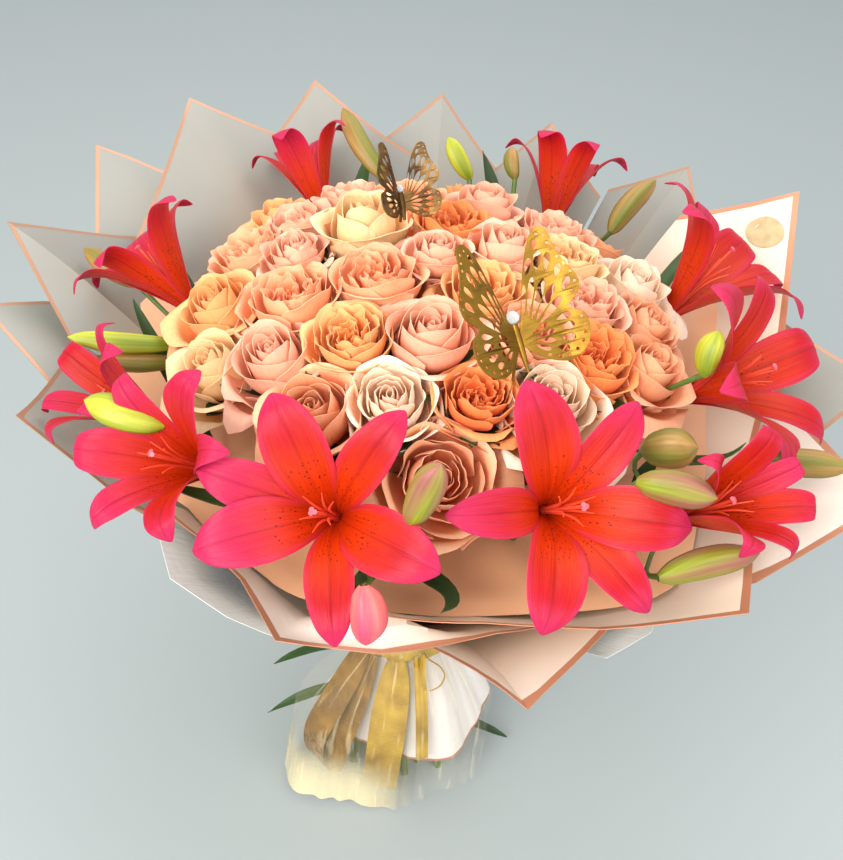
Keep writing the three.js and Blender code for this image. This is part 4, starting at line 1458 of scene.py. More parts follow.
@dataclass(frozen=True)
class Bud:
    """A lily bud on a side branch of its lily: foot, tip, thickness and tint."""

    lily: int
    foot: Place
    tip: Place
    thick: float
    tint: BudTint

    def pod(self, name: str, phase: float) -> bpy.types.Object:
        """Model the ribbed pod from foot to tip.

        Args:
            name: the pod's name.
            phase: turn of its ribs, in radians.

        Returns:
            The pod's mesh.
        """
        foot, tip = np.array(self.foot), np.array(self.tip)
        along = tip - foot
        length = np.linalg.norm(along)
        across, over, out = frame_along(along)

        def surface(u: np.ndarray, v: np.ndarray) -> np.ndarray:
            """Places of the pod's points.

            Args:
                u: across, -1 to 1, for each point.
                v: along, 0 to 1, for each point.

            Returns:
                The places in millimetres, one row each.
            """
            angle = math.pi * u + phase
            ridge = 1 + 0.07 * np.cos(3 * angle) + 0.05 * np.cos(6 * angle)
            radius = smooth_between(POD_WIDTHS, v)[:, 0] * ridge * self.thick / 2
            bow = 0.05 * length * np.sin(math.pi * v)
            return (foot + (v * length)[:, None] * out + (radius * np.cos(angle) + bow)[:, None] * across
                    + (radius * np.sin(angle))[:, None] * over)

        piece = laid_tube(name, columns=24, rows=14, surface=surface)
        flat = points_of(piece) / MM - foot
        share = np.clip((flat @ out) / length, 0, 1)
        seam = np.cos(3 * np.arctan2(flat @ over, flat @ across) + 2 * phase)
        mark(piece, "petal", np.clip(0.2 + 0.6 * share + 0.35 * seam, 0, 1), phase)
        return piece

    def stalk(self) -> tuple[np.ndarray, Sequence[float]]:
        """The branch's path from the neck of its lily, with its radii.

        Returns:
            The branch's points and the radius at each.
        """
        lily = LILIES[self.lily]
        neck = np.array(lily.throat) - lily.rows[2] * LILY_DEPTH
        foot = np.array(self.foot)
        end = foot + unit(np.array(self.tip) - foot) * 2
        ahead = max(float((end - neck) @ lily.rows[2]), 0.0)
        middle = neck + 0.8 * (end - neck) - 0.6 * ahead * lily.rows[2]
        return np.array([neck, middle, end]), (1.5, 1.5, 2.1)


LIME, OLIVE, PINK, ROSY = BudTint.LIME, BudTint.OLIVE, BudTint.PINK, BudTint.ROSY
BUDS = tuple(Bud(*row) for row in (
    (7, (-214, 54, 418), (-259, 76, 432), 15, OLIVE), (9, (-170, -26, 428), (-238, -45, 441), 14, LIME),
    (9, (-168, -32, 418), (-222, -50, 428), 13, OLIVE),
    (8, (-152, -142, 455), (-202, -134, 463), 20, LIME), (6, (-45, 170, 457), (-84, 216, 492), 16, OLIVE),
    (5, (21, 180, 458), (1, 194, 486), 14, LIME), (5, (56, 181, 461), (51, 199, 480), 12, OLIVE),
    (5, (128, 122, 456), (162, 166, 480), 17, OLIVE), (3, (174, -71, 473), (179, -59, 501), 16, LIME),
    (2, (134, -123, 453), (166, -130, 464), 24, OLIVE), (2, (126, -165, 464), (172, -175, 465), 20, PINK),
    (2, (212, -98, 429), (269, -107, 440), 18, OLIVE), (2, (146, -190, 412), (208, -168, 418), 19, PINK),
    (0, (-2, -213, 462), (12, -212, 506), 19, PINK), (0, (-24, -243, 441), (-20, -259, 410), 20, ROSY),
))


class LilyRing:
    """The ring of open lilies and buds round the roses."""

    def build(self) -> None:
        """Build the flowers, then the pods and their branches."""
        for lily in LILIES:
            lily.build()
        for i, bud in enumerate(BUDS):
            pod = bud.pod(f"bud_{i + 1:02d}", 0.7 * i)
            soften(pod, 80)
            dress(pod, bud.tint.value, "lily")
        stalks = rods("bud_stalks", [bud.stalk() for bud in BUDS])
        mark(stalks, "petal", 0.5, 0.0)
        dress(stalks, STALK, "lily")


# Stems and leaves

LEAF_WIDTHS = ((0.0, 0.22), (0.2, 0.7), (0.45, 1.0), (0.75, 0.72), (0.92, 0.3), (1.0, 0.02))
ROSE_STEM, LILY_STEM = 2.6, 3.2


def stem_path(top: np.ndarray) -> np.ndarray:
    """A stem's way from its cut end through the tie to what it carries.

    Args:
        top: the place in millimetres where the stem ends.

    Returns:
        The stem's foot, its place in the tie and its top.
    """
    bearing = math.atan2(top[1], top[0])
    spread = min(math.hypot(top[0], top[1]) / DOME_RADIUS, 1)
    foot = polar(FOOT_SPREAD * spread, bearing + math.radians(2 * STEM_TWIST), 0)
    tied = polar((CORE_RADIUS - 8) * spread, bearing + math.radians(STEM_TWIST), (CORE_LOW + CORE_HIGH) / 2)
    return np.array([foot, tied, top])


@dataclass(frozen=True)
class Leaf:
    """A long pointed leaf from its foot over a bend to its tip."""

    foot: Sequence[float]
    bend: Sequence[float]
    tip: Sequence[float]
    width: float

    def build(self, name: str, phase: float) -> bpy.types.Object:
        """Model the blade, folded along its midrib and a little wavy.

        Args:
            name: the blade's name.
            phase: where its waves start, in radians.

        Returns:
            The blade's mesh.
        """
        foot, bend, tip = (np.array(point, float) for point in (self.foot, self.bend, self.tip))

        def surface(u: np.ndarray, v: np.ndarray) -> np.ndarray:
            """Places of the blade's points.

            Args:
                u: across, -1 to 1, for each point.
                v: along, 0 to 1, for each point.

            Returns:
                The places in millimetres, one row each.
            """
            w = v[:, None]
            line = (1 - w) ** 2 * foot + 2 * w * (1 - w) * bend + w**2 * tip
            along = 2 * (1 - w) * (bend - foot) + 2 * w * (tip - bend)
            along = along / np.linalg.norm(along, axis=1)[:, None]
            side = np.cross(along, (0, 0, 1))
            side = side / np.maximum(np.linalg.norm(side, axis=1), 1e-6)[:, None]
            normal = np.cross(side, along)
            half = smooth_between(LEAF_WIDTHS, v)[:, 0] * self.width / 2
            fold = 0.32 * half * np.abs(u) + 0.08 * self.width * np.sin(9 * v + phase) * np.abs(u) * u
            return line + (u * half)[:, None] * side + fold[:, None] * normal

        piece = laid_sheet(name, columns=4, rows=12, surface=surface)
        mark(piece, "petal", 0.3 + 0.3 * math.sin(phase * 7), phase)
        return piece


LILY_LEAVES = (
    (8, (-110, -170, 418), (-165, -152, 421), 13), (2, (140, -118, 425), (150, -104, 436), 13),
    (3, (190, -104, 415), (205, -92, 440), 12), (0, (45, -205, 400), (20, -232, 412), 13),
    (0, (-5, -205, 405), (-55, -241, 417), 11), (9, (-190, -20, 420), (-205, 2, 443), 12),
    (7, (-195, 80, 425), (-215, 95, 445), 12), (6, (-70, 200, 430), (-60, 225, 455), 13),
    (5, (45, 205, 430), (30, 235, 455), 13), (4, (180, 140, 425), (205, 150, 440), 12),
)
HANDLE_LEAVES = (
    ((-14, -4, 112), (-66, -14, 128), (-104, -40, 120), 11),
    ((-18, -6, 70), (-70, -14, 66), (-110, -36, 50), 11),
    ((22, -4, 30), (62, -4, 26), (100, -8, 8), 12),
)


class Greenery:
    """Stems through the tie, and the leaves of the lilies, of the handle and between the roses."""

    def __init__(self, roses: Sequence[Rose]) -> None:
        """Keep the roses whose stems are built."""
        self.roses = roses

    def stems(self) -> bpy.types.Object:
        """Model every stem, straight from its cut end to the tie and on to its flower.

        Returns:
            All the stems as one mesh.
        """
        paths = []
        for rose in self.roses:
            top = rose.heart - rose.axis * (0.5 * rose.size + GAP)
            paths.append((stem_path(top), (ROSE_STEM,) * 3))
        for lily in LILIES:
            paths.append((stem_path(lily.base - lily.rows[2] * GAP), (LILY_STEM,) * 3))
        piece = rods("stems", paths, smooth=1)
        flat = points_of(piece)
        flat[:, 2] = np.maximum(flat[:, 2], 0)
        set_points(piece, flat)
        mark(piece, "petal", 0.4, 0.0)
        return piece

    def leaves(self) -> list[Leaf]:
        """List the lilies' leaves, the handle's leaves and the roses' own.

        Returns:
            The leaves.
        """
        leaves = [Leaf(*row) for row in HANDLE_LEAVES]
        for lily, bend, tip, width in LILY_LEAVES:
            _, tied, top = stem_path(LILIES[lily].base)
            leaves.append(Leaf(top + unit(tied - top) * 60, bend, tip, width))
        rng = np.random.default_rng(5)
        for rose in self.roses:
            rows = frame_along(rose.axis)
            out = rows[2]
            for k in range(3):
                ray = spoke(rows, 2.1 * k + rng.uniform(*PHASES))
                foot = rose.heart - out * 0.5 * rose.size
                bend = rose.heart - out * 0.25 * rose.size + ray * 0.4 * rose.size
                tip = rose.heart - out * 0.05 * rose.size + ray * 0.62 * rose.size
                leaves.append(Leaf(foot, bend, tip, width=16))
        return leaves

    def build(self) -> None:
        """Build the stems and the leaves as two pieces."""
        dress(self.stems(), STALK, "green", "stems_buds_leaves")
        blades = [leaf.build(f"blade_{i}", 1.3 * i) for i, leaf in enumerate(self.leaves())]
        leaves = join("leaves", blades)
        thicken(leaves, 0.5, degrees=70)
        dress(leaves, LEAF, "green", "stems_buds_leaves")


# Wrapping sheets

# A swell's place in plan, its two spreads and its rise.
NO_SWELL = (0, 0, 1, 1, 0)


def flare_at(radius: np.ndarray) -> np.ndarray:
    """How far a sheet bulges above a straight cone at a radius."""
    return FLARE * (1 - ((radius - FLARE_MIDDLE) / FLARE_REACH) ** 2)


def rumple(bearing: np.ndarray, radius: np.ndarray) -> np.ndarray:
    """Soft waves that every sheet shares, so that the layers never cross.

    Args:
        bearing: compass angle of each point, in radians.
        radius: distance of each point from the axis, in millimetres.

    Returns:
        The waves' height at each point, in millimetres.
    """
    grow = np.clip((radius - 60) / 200, 0, 1.3)
    return grow * (1.5 * np.sin(3 * bearing + 0.6) + 1.1 * np.sin(7 * bearing + radius / 45)
                   + 0.8 * np.sin(13 * bearing - radius / 30))


class Flap:
    """One corner flap: from the tie out to a rim of straight edges."""

    def __init__(self, rim: Sequence[Place], layer: float, swell: Sequence[float] = NO_SWELL) -> None:
        """Work out the slope at each corner of the rim, and keep the swell.

        Args:
            rim: the rim's corners, in millimetres.
            layer: number of layers that lie inside it.
            swell: the swell's place in plan, its two spreads and its rise.
        """
        self.swell = swell
        self.start = PAPER_FOOT + LAYER * layer
        corners = np.array(rim, float)
        reach = np.hypot(corners[:, 0], corners[:, 1])
        rise = corners[:, 2] - PAPER_START - flare_at(reach) + flare_at(self.start)
        self.corners = np.column_stack([corners[:, :2], rise / (reach - self.start)])

    def stations(self, degrees: float = 4.0) -> np.ndarray:
        """Points along the rim, an unbroken run with one at each corner.

        Args:
            degrees: widest turn from one point to the next.

        Returns:
            Rows of x, y and slope.
        """
        rows = [self.corners[0]]
        for last, corner in zip(self.corners[:-1], self.corners[1:]):
            turn = abs(math.atan2(last[0] * corner[1] - last[1] * corner[0], last[:2] @ corner[:2]))
            parts = max(2, round(turn / math.radians(degrees)))
            rows += [last + (corner - last) * k / parts for k in range(1, parts + 1)]
        return np.array(rows)

    def height(self, bearing: np.ndarray, radius: np.ndarray, slope: np.ndarray) -> np.ndarray:
        """The sheet's height at a bearing and radius."""
        return (PAPER_START + (radius - self.start) * slope + flare_at(radius) - flare_at(self.start)
                + rumple(bearing, radius))

    def rim_distance(self, x: np.ndarray, y: np.ndarray) -> np.ndarray:
        """Plan distance to the nearest edge of the rim.

        Args:
            x: each point's x, in millimetres.
            y: each point's y, in millimetres.

        Returns:
            The distances, in millimetres.
        """
        nearest = np.full(len(x), 1e3)
        for last, corner in zip(self.corners[:-1], self.corners[1:]):
            edge = corner[:2] - last[:2]
            length = np.linalg.norm(edge)
            share = np.clip(((x - last[0]) * edge[0] + (y - last[1]) * edge[1]) / length**2, 0, 1)
            away = np.hypot(x - last[0] - share * edge[0], y - last[1] - share * edge[1])
            nearest = np.minimum(nearest, away)
        return nearest

    def build(self, name: str, rows: int = 20) -> bpy.types.Object:
        """Lay the flap and mark each point's distance to the rim.

        Args:
            name: the flap's name.
            rows: cells from the tie to the rim.

        Returns:
            The flap's mesh.
        """
        stations = self.stations()
        columns = len(stations) - 1
        bearing = np.arctan2(stations[:, 1], stations[:, 0])
        reach = np.hypot(stations[:, 0], stations[:, 1])
        kept = {}

        def surface(u: np.ndarray, v: np.ndarray) -> np.ndarray:
            """Places of the flap's points.

            Args:
                u: across, -1 to 1, for each point.
                v: along, 0 to 1, for each point.

            Returns:
                The places in millimetres, one row each.
            """
            i = np.rint((u + 1) / 2 * columns).astype(int)
            share = 1 - (1 - v) ** 1.5
            radius = self.start + (reach[i] - self.start) * share
            z = self.height(bearing[i], radius, stations[i, 2])
            x, y = radius * np.cos(bearing[i]), radius * np.sin(bearing[i])
            slant = np.sqrt(1 + stations[i, 2] ** 2)
            middle_x, middle_y, wide, long, rise = self.swell
            inside = self.rim_distance(x, y)
            rise = rise * np.clip(inside / 20, 0, 1)
            z = z + rise * np.exp(-(((x - middle_x) / wide) ** 2) - ((y - middle_y) / long) ** 2)
            kept["edge"] = inside * slant * MM
            kept["depth"] = np.clip((share - 0.4) / 0.6, 0, 1)
            return np.column_stack([x, y, z])

        piece = laid_sheet(name, columns, rows, surface)
        mark(piece, "edge", kept["edge"], kept["depth"])
        return piece


@dataclass(frozen=True)
class Sheet:
    """A folded sheet of paper: its node, its layer, its flaps, its finish and its flaps' swells."""

    node: str
    layer: float
    flaps: tuple
    finish: WrapPaper
    swells: tuple = (NO_SWELL, NO_SWELL)

    def build(self) -> bpy.types.Object:
        """Build the flaps as one piece.

        Returns:
            The dressed sheet.
        """
        flaps = [Flap(rim, self.layer, swell).build(f"{self.node}_flap_{k}")
                 for k, (rim, swell) in enumerate(zip(self.flaps, self.swells))]
        piece = join("sheet_" + self.node, flaps)
        thicken(piece, 0.5, degrees=28)
        return dress(piece, self.finish, "paper", self.node)


# From the innermost sheet to the outermost, each with its flaps' rims.
SHEETS = (
    Sheet("paper_right", 0, (
        ((-45, -205, 381), (-12, -214, 384), (47, -214, 385), (117, -209, 386), (201, -201, 402),
         (210, -157, 397), (231, -32, 394), (256, 56, 428), (275, 176, 475), (192, 195, 434)),
    ), PAPER_LIT_THROUGH),
    Sheet("paper_front", 1, (
        ((-173, -112, 368), (-132, -150, 368), (-103, -180, 368), (-74, -232, 376), (-13, -223, 360),
         (58, -190, 350), (95, -160, 332)),
        ((-2, -168, 318), (77, -242, 345), (138, -150, 332), (158, -120, 335)),
    ), PAPER, ((-12, -200, 46, 16, 27), NO_SWELL)),
    Sheet("paper_back_left", 2, (
        ((-87, 238, 430), (-128, 236, 449), (-207, 223, 484), (-235, 110, 407)),
        ((-29, 250, 441), (-51, 255, 450), (-113, 274, 484), (-181, 178, 414)),
    ), PAPER_SHADED),
    Sheet("paper_left", 3, (
        ((-192, 168, 400), (-234, 153, 397), (-311, 71, 450), (-260, 23, 388), (-255, 14, 387),
         (-260, -98, 418), (-186, -117, 362), (-162, -105, 332)),
    ), PAPER_SHADED),
    Sheet("paper_back", 4, (
        ((46, 258, 426), (-7, 294, 478), (-96, 242, 416)),
        ((132, 238, 422), (117, 246, 436), (86, 276, 466), (38, 258, 424)),
    ), PAPER_SHADED),
    Sheet("paper_far_right", 5, (
        ((180, -138, 345), (219, -148, 372), (297, -113, 420), (255, 48, 388)),
    ), PAPER),
    Sheet("paper_far_left", 6, (
        ((-175, 216, 405), (-232, 220, 418), (-288, 229, 430), (-270, 140, 392), (-254, 87, 372),
         (-290, 64, 388), (-327, 35, 404), (-253, -20, 362)),
    ), PAPER_SHADED),
    Sheet("paper_back_right", 7, (
        ((244, -22, 345), (326, 24, 408), (270, 108, 396), (240, 160, 395), (227, 191, 412), (211, 208, 424),
         (199, 236, 456), (139, 247, 424)),
    ), PAPER_SHADED),
)


class Liner:
    """The sheets' turned-in inner ply, which closes the wrap under the flowers."""

    inner, inner_height = 95.0, 352.0
    lift, slack, dip = 0.8, 3.2, 6.0
    share, sway = 0.87, 0.04

    def rim(self, bearing: float) -> tuple[float, float]:
        """Where the ply meets the innermost sheet at a bearing: radius and height.

        Args:
            bearing: compass angle, in radians.

        Returns:
            The radius and the height, in millimetres.
        """
        found = []
        for sheet in SHEETS:
            for rim in sheet.flaps:
                flap = Flap(rim, sheet.layer)
                rows = flap.stations(degrees=2.0)
                angles = np.unwrap(np.arctan2(rows[:, 1], rows[:, 0]))
                turn = (bearing - angles[0] + math.pi) % (2 * math.pi) - math.pi + angles[0]
                if min(angles) <= turn <= max(angles):
                    order = np.argsort(angles)
                    reach = np.interp(turn, angles[order], np.hypot(rows[:, 0], rows[:, 1])[order])
                    slope = np.interp(turn, angles[order], rows[order, 2])
                    found.append((sheet.layer, reach, slope, flap))
        _, reach, slope, flap = min(found, key=lambda row: row[0])
        radius = reach * (self.share - self.sway * math.sin(bearing))
        return radius, float(flap.height(np.array(bearing), np.array(radius), np.array(slope)))

    @staticmethod
    def windows(rows: np.ndarray) -> list[np.ndarray]:
        """Each row of a ring with the two before it and the two after it."""
        return [rows[(np.arange(-2, 3) + i) % len(rows)] for i in range(len(rows))]

    def build(self) -> bpy.types.Object:
        """Lay the ply from the sheets in towards the stems.

        Returns:
            The finished piece.
        """
        rims = np.array([self.rim(bearing) for bearing in np.radians(np.arange(-180, 180, 3.0))])
        near = np.array([window.min(axis=0) for window in self.windows(rims)])
        outer = np.array([window.mean(axis=0) for window in self.windows(near)])
        around = np.append(outer, outer[:1], axis=0)

        def surface(u: np.ndarray, v: np.ndarray) -> np.ndarray:
            """Places of the ply's points.

            Args:
                u: across, -1 to 1, for each point.
                v: along, 0 to 1, for each point.

            Returns:
                The places in millimetres, one row each.
            """
            k = np.rint((u + 1) / 2 * len(outer)).astype(int)
            bearing = math.pi * u
            radius = around[k, 0] + (self.inner - around[k, 0]) * v
            dip = self.dip * np.sin(math.pi * np.clip(v * 1.4, 0, 1))
            crease = (4.0 * np.sin(9 * bearing) + 2.5 * np.sin(17 * bearing + 3 * v)) * np.sin(math.pi * v)
            z = around[k, 1] + self.lift + self.slack * np.minimum(8 * v, 1)
            z = z + (self.inner_height - around[k, 1]) * v**1.3 - dip + crease
            return polar(radius, bearing, z)

        piece = laid_tube("sheet_inner_ply", columns=len(outer), rows=12, surface=surface)
        mark(piece, "edge", 0.1, 0.15)
        thicken(piece, 0.4)
        return dress(piece, INNER_PLY_SHADE, "paper")


@dataclass(frozen=True)
class Label:
    """A round bare sticker on the right sheet: its place in plan and its radius."""

    x: float = 249.0
    y: float = 148.0
    radius: float = 17.0
    lift: float = 0.9
    thick: float = 0.3

    def build(self) -> bpy.types.Object:
        """Lay the disc on the sheet's own surface.

        Returns:
            The finished piece.
        """
        flap = Flap(SHEETS[0].flaps[0], 0)
        stations = flap.stations(degrees=1.0)
        bearings = np.arctan2(stations[:, 1], stations[:, 0])
        middle = math.hypot(self.x, self.y)
        turned = math.atan2(self.y, self.x)
        slope = np.interp(turned, bearings, stations[:, 2])
        slant = math.hypot(1, slope)
        deselect_all()
        bpy.ops.mesh.primitive_circle_add(vertices=64, radius=self.radius, fill_type="TRIFAN")
        piece = bpy.context.active_object
        rename(piece, "label")
        flat = points_of(piece)
        radius = middle + flat[:, 1] / slant
        bearing = turned + flat[:, 0] / middle
        z = flap.height(bearing, radius, np.interp(bearing, bearings, stations[:, 2])) + self.lift
        set_points(piece, polar(radius, bearing, z) * MM)
        finish_with(piece, "SOLIDIFY", thickness=self.thick * MM, offset=0.0)
        return dress(piece, LABEL, "paper")


# Frill, film and ribbon


def halves(v: np.ndarray) -> tuple[np.ndarray, np.ndarray]:
    """How far along its upper half and its lower half each point of a skirt lies."""
    return np.clip(v * 2, 0, 1), np.clip(v * 2 - 1, 0, 1)


class Frill:
    """The pleated paper frill under the tie, open at the left."""

    foot, waist, waist_height, length = PAPER_FOOT + 0.5, 31.0, 96.0, 95.0

    def build(self) -> bpy.types.Object:
        """Model the pleats from the tie down to the hem.

        Returns:
            The finished piece.
        """
        kept = {}

        def surface(u: np.ndarray, v: np.ndarray) -> np.ndarray:
            """Places of the frill's points.

            Args:
                u: across, -1 to 1, for each point.
                v: along, 0 to 1, for each point.

            Returns:
                The places in millimetres, one row each.
            """
            angle = np.radians(-2 + 150 * u)
            wave = np.sin(5 * angle)
            hem = 66 + 12 * np.cos(angle) + 4 * wave
            low = 46 + 3 * np.cos(3 * angle)
            middle = 0.45 * self.waist + 0.55 * hem + 2 * wave
            upper, lower = halves(v)
            radius = self.foot + (middle - self.foot) * upper + (hem - middle) * lower
            z = TIE_LOW - GAP + (self.waist_height - TIE_LOW) * upper + (low - self.waist_height) * lower
            pleat = np.sin(13 * angle + 0.8 * np.sin(4 * angle)) * (0.5 + 0.6 * v)
            radius = radius + pleat + 0.2 * np.sin(37 * angle + 3 * v)
            kept["edge"] = (1 - v) * self.length * MM
            kept["depth"] = np.clip(v * 1.4, 0, 1)
            return polar(radius, angle, z)

        piece = laid_sheet("frill", columns=220, rows=14, surface=surface)
        mark(piece, "edge", kept["edge"], kept["depth"])
        thicken(piece, 0.4, degrees=40)
        return dress(piece, FRILL, "frill", "paper_frill")


FILM_FLAPS = (
    ((-170, -118, 352), (-150, -168, 350), (-112, -182, 334), (-70, -170, 300)),
    ((104, -150, 300), (132, -172, 318), (160, -158, 330), (170, -120, 325)),
)


class Film:
    """The clear film: a sleeve round the tie, a skirt at the front and two corners under the sheets."""

    layer = 9.0
    radius, waist_height = 44.2, 78.0
    sleeve_radius, sleeve_low, sleeve_height = 44.1, 138.0, 21.8

    def skirt(self) -> bpy.types.Object:
        """Model the skirt that hangs at the front.

        Returns:
            The skirt's mesh.
        """

        def surface(u: np.ndarray, v: np.ndarray) -> np.ndarray:
            """Places of the skirt's points.

            Args:
                u: across, -1 to 1, for each point.
                v: along, 0 to 1, for each point.

            Returns:
                The places in millimetres, one row each.
            """
            degrees = -86 + 71 * u
            angle = np.radians(degrees)
            bulge = np.exp(-(((degrees + 136) / 26) ** 2))
            wave = np.sin(7 * angle)
            middle, hem = 84 + 18 * bulge + 2 * wave, 84 + 28 * bulge + 3 * wave
            upper, lower = halves(v)
            swing = np.sin(upper * math.pi / 2)
            radius = self.radius + (middle - self.radius) * swing + (hem - middle) * lower
            low = 5 + 3 * np.sin(5 * angle)
            z = TIE_LOW + (self.waist_height - TIE_LOW) * upper + (low - self.waist_height) * lower
            crease = 1.6 * np.sin(31 * angle + 2 * np.sin(9 * angle)) * v
            return polar(radius + crease, angle, z)

        return laid_sheet("film_skirt", columns=120, rows=16, surface=surface)

    def sleeve(self) -> bpy.types.Object:
        """Model the sleeve round the tie.

        Returns:
            The sleeve's mesh.
        """

        def surface(u: np.ndarray, v: np.ndarray) -> np.ndarray:
            """Places of the sleeve's points.

            Args:
                u: across, -1 to 1, for each point.
                v: along, 0 to 1, for each point.

            Returns:
                The places in millimetres, one row each.
            """
            angle = math.pi * u
            radius = self.sleeve_radius + 0.4 * np.sin(17 * angle)
            return polar(radius, angle, self.sleeve_low + self.sleeve_height * v)

        return laid_tube("film_sleeve", columns=96, rows=4, surface=surface)

    def build(self) -> bpy.types.Object:
        """Join the sleeve, the skirt and the corners.

        Returns:
            The finished piece.
        """
        corners = [Flap(rim, self.layer).build(f"film_corner_{k}", rows=8)
                   for k, rim in enumerate(FILM_FLAPS)]
        piece = join("film", [self.skirt(), self.sleeve(), *corners])
        thicken(piece, 0.3)
        return dress(piece, FILM, "film", "clear_film")


RIBBON_LOOP = (
    (-27, -25, 146, 10), (-38, -33, 118, 24), (-52, -44, 88, 28), (-67, -56, 55, 28), (-66, -62, 32, 28),
    (-54, -66, 30, 28), (-46, -58, 60, 28), (-34, -46, 100, 24), (-22, -30, 146, 10),
)
RIBBON_TAIL = (
    (-4, -37, 146, 10), (-4, -47, 122, 24), (-6, -60, 92, 30), (-8, -73, 52, 30), (-10, -75, 14, 30),
)
RIBBON_STRIP = ((14, -40, 146, 10), (17, -50, 124, 10), (21, -63, 94, 10.5), (24, -75, 58, 10.5))


@dataclass(frozen=True)
class GoldCord:
    """The loop of thin gold cord in front of the frill: its path and its thickness."""

    path: tuple[Place, ...] = (
        (17, -39, 150), (22, -47, 151), (31, -48, 145), (36, -48, 134), (33, -50, 123), (24, -53, 119),
        (18, -52, 126), (16, -45, 138), (14, -40.5, 147),
    )
    thick: float = 1.2
    points: int = 60

    def build(self) -> bpy.types.Object:
        """Returns:
            The dressed cord.
        """
        keys = np.column_stack([np.linspace(0, 1, len(self.path)), np.array(self.path, float)])
        line = smooth_between(keys, np.linspace(0, 1, self.points))
        piece = rods("ribbon_cord", [(line, (self.thick / 2,) * len(line))], smooth=1)
        dress(piece, RIBBON, "ribbon")
        return piece


class Ribbon:
    """The satin ribbon: a wound band, a bow loop and two tails."""

    radius, windings, lip, height = 42.6, 3, 14.0, 17.9

    def band(self) -> bpy.types.Object:
        """Model the windings of the band, each lapping over the last.

        Returns:
            The band's mesh.
        """

        def surface(u: np.ndarray, v: np.ndarray) -> np.ndarray:
            """Places of the band's points.

            Args:
                u: across, -1 to 1, for each point.
                v: along, 0 to 1, for each point.

            Returns:
                The places in millimetres, one row each.
            """
            angle = math.pi * u
            face = np.clip((v - 0.15) / 0.7, 0, 1)
            inward = np.maximum(0.15 - v, v - 0.85).clip(0) / 0.15
            lap = (face * self.windings + 0.12 * np.sin(2 * angle) + 0.06 * np.sin(5 * angle)) % 1
            radius = self.radius - 1.5 * lap * (inward == 0) - self.lip * inward
            radius = radius + 0.25 * np.sin(29 * angle + 6 * face)
            return polar(radius, angle, TIE_LOW + GAP + self.height * face)

        return laid_tube("ribbon_band", columns=144, rows=28, surface=surface)

    def strip(self, name: str,
              rows: Sequence[Sequence[float]]) -> tuple[bpy.types.Object, tuple[float, float]]:
        """Lay a length of ribbon along its rows of place and width.

        Args:
            name: the new piece's name.
            rows: points in millimetres, each with the width there.

        Returns:
            The piece, and its flat width and length in metres.
        """
        table = np.array(rows, float)
        share = np.linspace(0, 1, len(table))
        keys = np.column_stack([share, table])
        line = smooth_between(keys, np.linspace(0, 1, 200))
        length = np.linalg.norm(np.diff(line[:, :3], axis=0), axis=1).sum()

        def surface(u: np.ndarray, v: np.ndarray) -> np.ndarray:
            """Places of the strip's points.

            Args:
                u: across, -1 to 1, for each point.
                v: along, 0 to 1, for each point.

            Returns:
                The places in millimetres, one row each.
            """
            before, at, after = (smooth_between(keys, np.clip(v + step, 0, 1)) for step in (-0.01, 0, 0.01))
            along = after - before
            side = np.column_stack([-at[:, 1], at[:, 0], np.zeros(len(at))])
            side = side / np.linalg.norm(side, axis=1)[:, None]
            normal = np.cross(side, along[:, :3])
            normal = normal / np.linalg.norm(normal, axis=1)[:, None]
            half = at[:, 3] / 2
            gathered = np.clip(1 - half / 16, 0.08, 1)
            gathers = 1.6 * np.cos(3 * math.pi * u) * gathered * np.clip(half / 9, 0, 1) ** 2
            return at[:, :3] + (u * half)[:, None] * side + gathers[:, None] * normal

        piece = laid_sheet(name, columns=12, rows=60, surface=surface)
        return piece, (float(table[:, 3].mean()) * MM, float(length) * MM)

    def build(self) -> None:
        """Build the band, the loop and the two tails."""
        band = self.band()
        thicken(band, 0.4, degrees=40)
        dress(band, RIBBON, "ribbon", "gold_ribbon")
        for name, rows in (("ribbon_loop", RIBBON_LOOP), ("ribbon_tail", RIBBON_TAIL),
                           ("ribbon_strip", RIBBON_STRIP)):
            strip, flat = self.strip(name, rows)
            thicken(strip, 0.4)
            dress(strip, RIBBON_SHADED if rows is RIBBON_LOOP else RIBBON, "ribbon", "gold_ribbon")


# Butterflies


WING_OUTLINE = (
    (1, -2), (3, 6), (6, 16), (10, 28), (14, 39), (19, 50), (24, 57.5), (29, 60), (33, 57), (34, 51),
    (35, 44), (38, 36), (41, 30), (43, 24), (41.5, 18), (37, 14), (33, 11), (35, 8), (40, 5), (42, -1),
    (41, -8), (38, -14), (32, -18.5), (25, -20), (18, -18), (12, -14.5), (7, -11),
)
WING_SLOTS = (
    (5.5, 9, 12, 30, 2.6), (8.5, 10, 18, 33, 3.6), (10.5, 8.5, 24, 30, 4.4), (12.5, 7, 29, 25, 4.4),
    (14, 4.8, 31, 17, 4.0), (14.5, 34, 19.5, 44, 4.0), (20.5, 35, 26, 47, 4.4), (26, 33, 30.5, 44, 3.8),
    (30.5, 28, 35, 36, 3.8), (32.5, 20, 38, 27, 4.2), (22, 47.5, 25.5, 53.5, 3.0), (8.5, 0.5, 19, 4.5, 2.6),
    (9, -1.6, 22, -0.6, 3.2), (9, -3.6, 21, -6.6, 3.2), (8, -5.6, 17, -11.2, 3.0), (24, 4.6, 33.5, 6, 3.6),
    (25, -0.6, 34, -0.4, 4.2), (24, -5.8, 32.5, -8, 4.2), (20.5, -10.6, 27.5, -13.6, 3.6),
)
